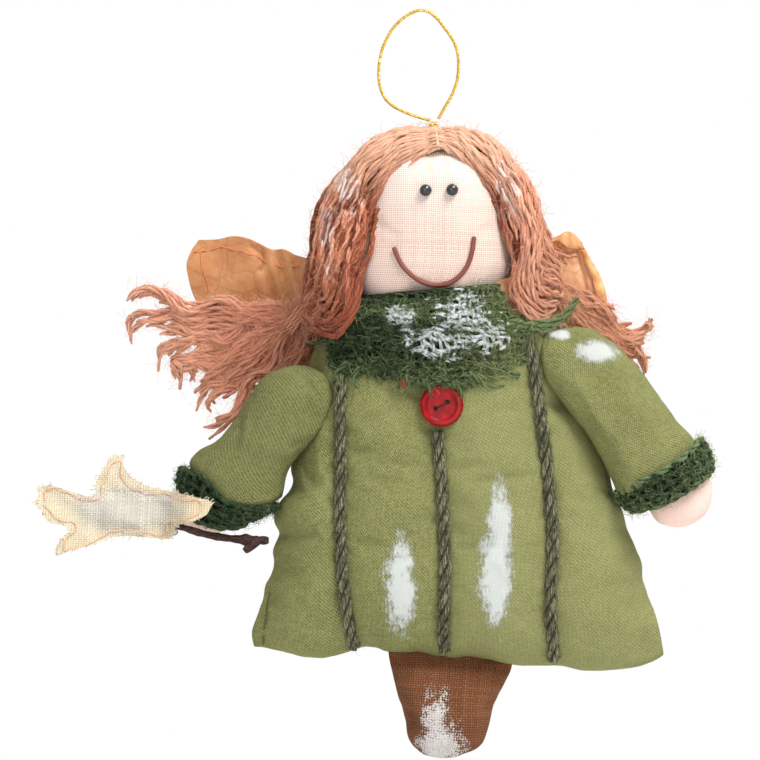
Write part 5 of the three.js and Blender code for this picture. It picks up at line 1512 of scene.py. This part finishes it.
inset = outline - outline / (np.linalg.norm(outline, axis=1)[:, None] + 1e-9) * 1.9
inset += np.stack([wavering(chance, count, 0.3, 5), wavering(chance, count, 0.3, 5)], axis=1)
stitch_points = star_point(inset[:, 0], inset[:, 1], -1.15)
stitch_points[:, 1] -= 0.14 * np.sin(np.arange(count) * 1.6)
stitch_piece = yarn_piece("star_stitches", [stitch_points], [0.27], [0.6], star_stitch, 1, 1.0, 6,
                          "arm_left", "gauze")
frayed = []
for index, corner in enumerate(outline):
    for repeat in range(2 if index % 2 else 1):
        start = corner * chance.uniform(0.93, 0.99)
        away = corner / (np.linalg.norm(corner) + 1e-9)
        turn_by = chance.normal(0, 0.7)
        away = np.array([away[0] * math.cos(turn_by) - away[1] * math.sin(turn_by),
                         away[0] * math.sin(turn_by) + away[1] * math.cos(turn_by)])
        reach = chance.uniform(0.4, 1.6)
        steps = [start + away * reach * share + chance.normal(0, 0.1, 2) for share in (0, 0.4, 0.75, 1)]
        lifts = -0.3 + np.cumsum(chance.normal(0, 0.2, 4))
        frayed.append(np.array([star_point(*step, lift) for step, lift in zip(steps, lifts)]))
fray_piece = yarn_piece("star_frays", frayed, [0.2] * len(frayed), list(chance.uniform(0, 1, len(frayed))),
                        star_thread, 1, 1.0, 4, "arm_left", "gauze")

# The twig: bark with small bumps, and a knot near its end
bark = plain_material("twig_bark", (34, 22, 20), (84, 58, 46), 2200.0, 0.0003, 0.75, 0.25, 4.0, 0.65,
                      stretch=(0.25, 1.0, 1.0), steps=(0.35, 0.7))
twig_path = line_through([(-70, -11.5, -121.2), (-63, -12.3, -121.8), (-57.4, -13, -122.9),
                          (-51, -11.4, -124.9), (-45, -10.4, -126), (-40, -10.2, -126.4),
                          (-36.4, -10, -126.5)], 80)
share = np.linspace(0, 1, 80)
radius = 0.84 * (0.9 + 0.25 * share + 0.08 * np.sin(40 * share) + 0.05 * np.sin(97 * share))
radius += 0.55 * np.exp(-((share - 0.87) / 0.035) ** 2)
stick_points, stick_faces = tube(twig_path, radius, 12)
side_twig = line_through([(-38.6, -10.5, -126.6), (-39.6, -11, -127.6), (-40.8, -11.2, -128.6)], 8)
side_points, side_faces = tube(side_twig, np.linspace(1.3, 0.95, 8), 10)
twig_faces = stick_faces + [[len(stick_points) + index for index in face] for face in side_faces]
shaped_piece("twig_stick", (np.concatenate([stick_points, side_points]), twig_faces), "arm_left",
             bark, ["twig"])

# Small parts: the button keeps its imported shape, and the beads, wire, knot and stitch are drawn out in full
button_red, tree, shader, place = new_material("button_red")
swirl = noise(tree, place, 420.0, 4.0, 0.6)
scratch = noise(tree, vector(tree, "MULTIPLY", place, (1.0, 1.0, 0.12)), 2600.0)
base = mixed(tree, ramp(tree, swirl, 0.35, 0.7), colour(134, 8, 14), colour(172, 18, 24))
base = mixed(tree, ramp(tree, scratch, 0.62, 0.8, 0.0, 0.3), base, colour(214, 84, 84))
surface(shader, 0.34, 0.22)
finish_material(tree, shader, base, swirl, 0.00008, ramp(tree, scratch, 0.4, 0.8, 0.28, 0.5))
dark_thread = plain_material("dark_thread", (20, 16, 15), (60, 40, 38), 3000.0, 0.0001, 0.7)
bead_black = plain_material("bead_black", (4, 4, 6), (24, 22, 26), 800.0, 0.00001, 0.08, 0.6,
                            rough=(0.2, 0.9, 0.05, 0.12))
bead_black.node_tree.nodes["Principled BSDF"].inputs["Coat Weight"].default_value = 0.35
wire_brown = plain_material("wire_brown", (104, 50, 40), (142, 78, 64), 1200.0, 0.00005, 0.45, 0.4, 3.0)
pale_thread = plain_material("pale_thread", (206, 176, 120), (244, 226, 186), 2500.0, 0.0001, 0.6)


def ball(middle, radius, rows=14, sides=24):
    """A round bead with closed poles."""
    angle = np.linspace(0, np.pi, rows + 1)[1:-1, None]
    turn = np.linspace(0, TURN, sides, endpoint=False)[None]
    ring = xyz(np.sin(angle) * np.cos(turn), np.sin(angle) * np.sin(turn), np.cos(angle))
    points = np.concatenate([ring.reshape(-1, 3), [[0, 0, 1], [0, 0, -1]]]) * radius + np.array(middle)
    faces = wrapped_quads(rows - 1, sides, True)
    top = (rows - 1) * sides
    low = top - sides
    for number in range(sides):
        following = (number + 1) % sides
        faces += [[top, number, following], [top + 1, low + following, low + number]]
    return points, faces


for side, x, z in (("left", 1.7, -43.3), ("right", 8.0, -43.2)):
    bead = ball((x, float(front_of(head, x, z)[0]) - 0.9, z), 1.45)
    shaped_piece("eye_bead_" + side, bead, "doll", bead_black, ["eye_" + side])
x, z = line_through([(-5.7, -57.2), (-5, -59), (-3.8, -61.2), (-1.7, -63.4), (1, -65.1), (3.8, -65.8),
                     (7, -65.4), (9.6, -63.8), (11.7, -61), (12.7, -58), (13.2, -54.7)], 70).T
smile = tube(xyz(x, smoothed(front_of(head, x, z), 8) - 0.5, z), 0.55, 12)
shaped_piece("smile_bent_wire", smile, "doll", wire_brown, ["smile_wire"])
knot_rings = []
angle = np.linspace(0, TURN, 26)
for tilt, turn_by in ((0.2, 0.0), (1.2, 0.8), (-0.9, 2.0), (0.6, 2.9)):
    ring = xyz(0.82 * np.cos(angle), 0.82 * np.sin(angle), 0)
    lean = np.array([[1, 0, 0], [0, math.cos(tilt), -math.sin(tilt)], [0, math.sin(tilt), math.cos(tilt)]])
    knot_rings.append(ring @ lean.T @ about_y(turn_by).T + np.array([3.8, 0, -27.4]))
knot_rings.append(line_through([(3.8, -0.4, -27.4), (4.6, -1, -28.2), (4.8, -1.4, -29)], 12))
yarn_piece("tied_knot", knot_rings, [0.8] * 5, [0.5] * 5, gold, 3, 5.0, 6, "knot", "gold_cord",
           ["loop_knot"])
parting_stitch = line_through([(3.9, -1.4, -28.2), (4.2, -4.4, -28.7), (4.5, -8.2, -30.4),
                               (4.8, -11.2, -33.4)], 40)
yarn_piece("parting_thread", [parting_stitch], [0.75], [0.5], pale_thread, 2, 3.0, 6, "doll", "pale_thread",
           ["crown_stitch"])
for node_name, material in (("button", button_red), ("button_thread", dark_thread)):
    node_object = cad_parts[node_name]
    node_object.data.materials.clear()
    node_object.data.materials.append(material)

# Light: a broad white surround, a soft key from above on the right, a weak fill and a light from behind
world = bpy.data.worlds.new("surround")
scene.world = world
world.use_nodes = True
tree = world.node_tree
tree.nodes.clear()
rays = tree.nodes.new("ShaderNodeLightPath").outputs
mirrored = calc(tree, "MAXIMUM", rays["Is Glossy Ray"], rays["Is Transmission Ray"])
seen = calc(tree, "MAXIMUM", rays["Is Camera Ray"], mirrored)
plain = put(tree, "ShaderNodeBackground", (("Color", (1, 1, 1, 1)), ("Strength", 1.0))).outputs[0]
soft = put(tree, "ShaderNodeBackground", (("Color", (0.97, 0.985, 1, 1)), ("Strength", 0.4))).outputs[0]
shown = put(tree, "ShaderNodeMixShader", ((0, seen), (1, soft), (2, plain))).outputs[0]
put(tree, "ShaderNodeOutputWorld", (("Surface", shown),))
for name, spot, target, size, power in (("key", (0.5, -0.62, 0.9), (0, 0, -0.09), 0.6, 16.8),
                                        ("fill", (-0.3, -1.2, 0.1), (0, 0, -0.09), 0.6, 3.4),
                                        ("rim", (0.55, 0.3, 0.85), (0, 0, -0.08), 0.5, 5.0)):
    data = bpy.data.lights.new(name, "AREA")
    data.size = size
    data.energy = power
    lamp = bpy.data.objects.new(name, data)
    scene.collection.objects.link(lamp)
    lamp.location = spot
    way = np.array(target) - np.array(spot)
    lamp.rotation_euler = (math.atan2(math.hypot(way[0], way[1]), -way[2]), 0, math.atan2(-way[0], way[1]))

# Floor: white paper that fades into the surround
FLOOR_REACH = 1.2
FLOOR_HEIGHT = -0.32
floor_mesh = bpy.data.meshes.new("floor")
floor_corners = [(x * FLOOR_REACH, y * FLOOR_REACH, FLOOR_HEIGHT) for x,
                 y in ((-1, -1), (1, -1), (1, 1), (-1, 1))]
floor_mesh.from_pydata(floor_corners, [], [(0, 1, 2, 3)])
floor = bpy.data.objects.new("floor", floor_mesh)
scene.collection.objects.link(floor)
floor_white = plain_material("floor_white", (246, 246, 246), (252, 252, 252), 30.0, 0.0001, 0.9, 0.1)
tree = floor_white.node_tree
place = tree.nodes.new("ShaderNodeTexCoord").outputs["Object"]
far_away = vector(tree, "LENGTH", vector(tree, "MULTIPLY", place, (1, 1, 0)))
camera_ray = tree.nodes.new("ShaderNodeLightPath").outputs["Is Camera Ray"]
faded = calc(tree, "MULTIPLY", camera_ray, ramp(tree, far_away, 0.15, 0.6))
white = put(tree, "ShaderNodeEmission", (("Color", (1, 1, 1, 1)), ("Strength", 1.0))).outputs[0]
paper = tree.nodes["Principled BSDF"].outputs[0]
blended = put(tree, "ShaderNodeMixShader", ((0, faded), (1, paper), (2, white))).outputs[0]
tree.links.new(blended, tree.nodes["Material Output"].inputs["Surface"])
floor_mesh.materials.append(floor_white)
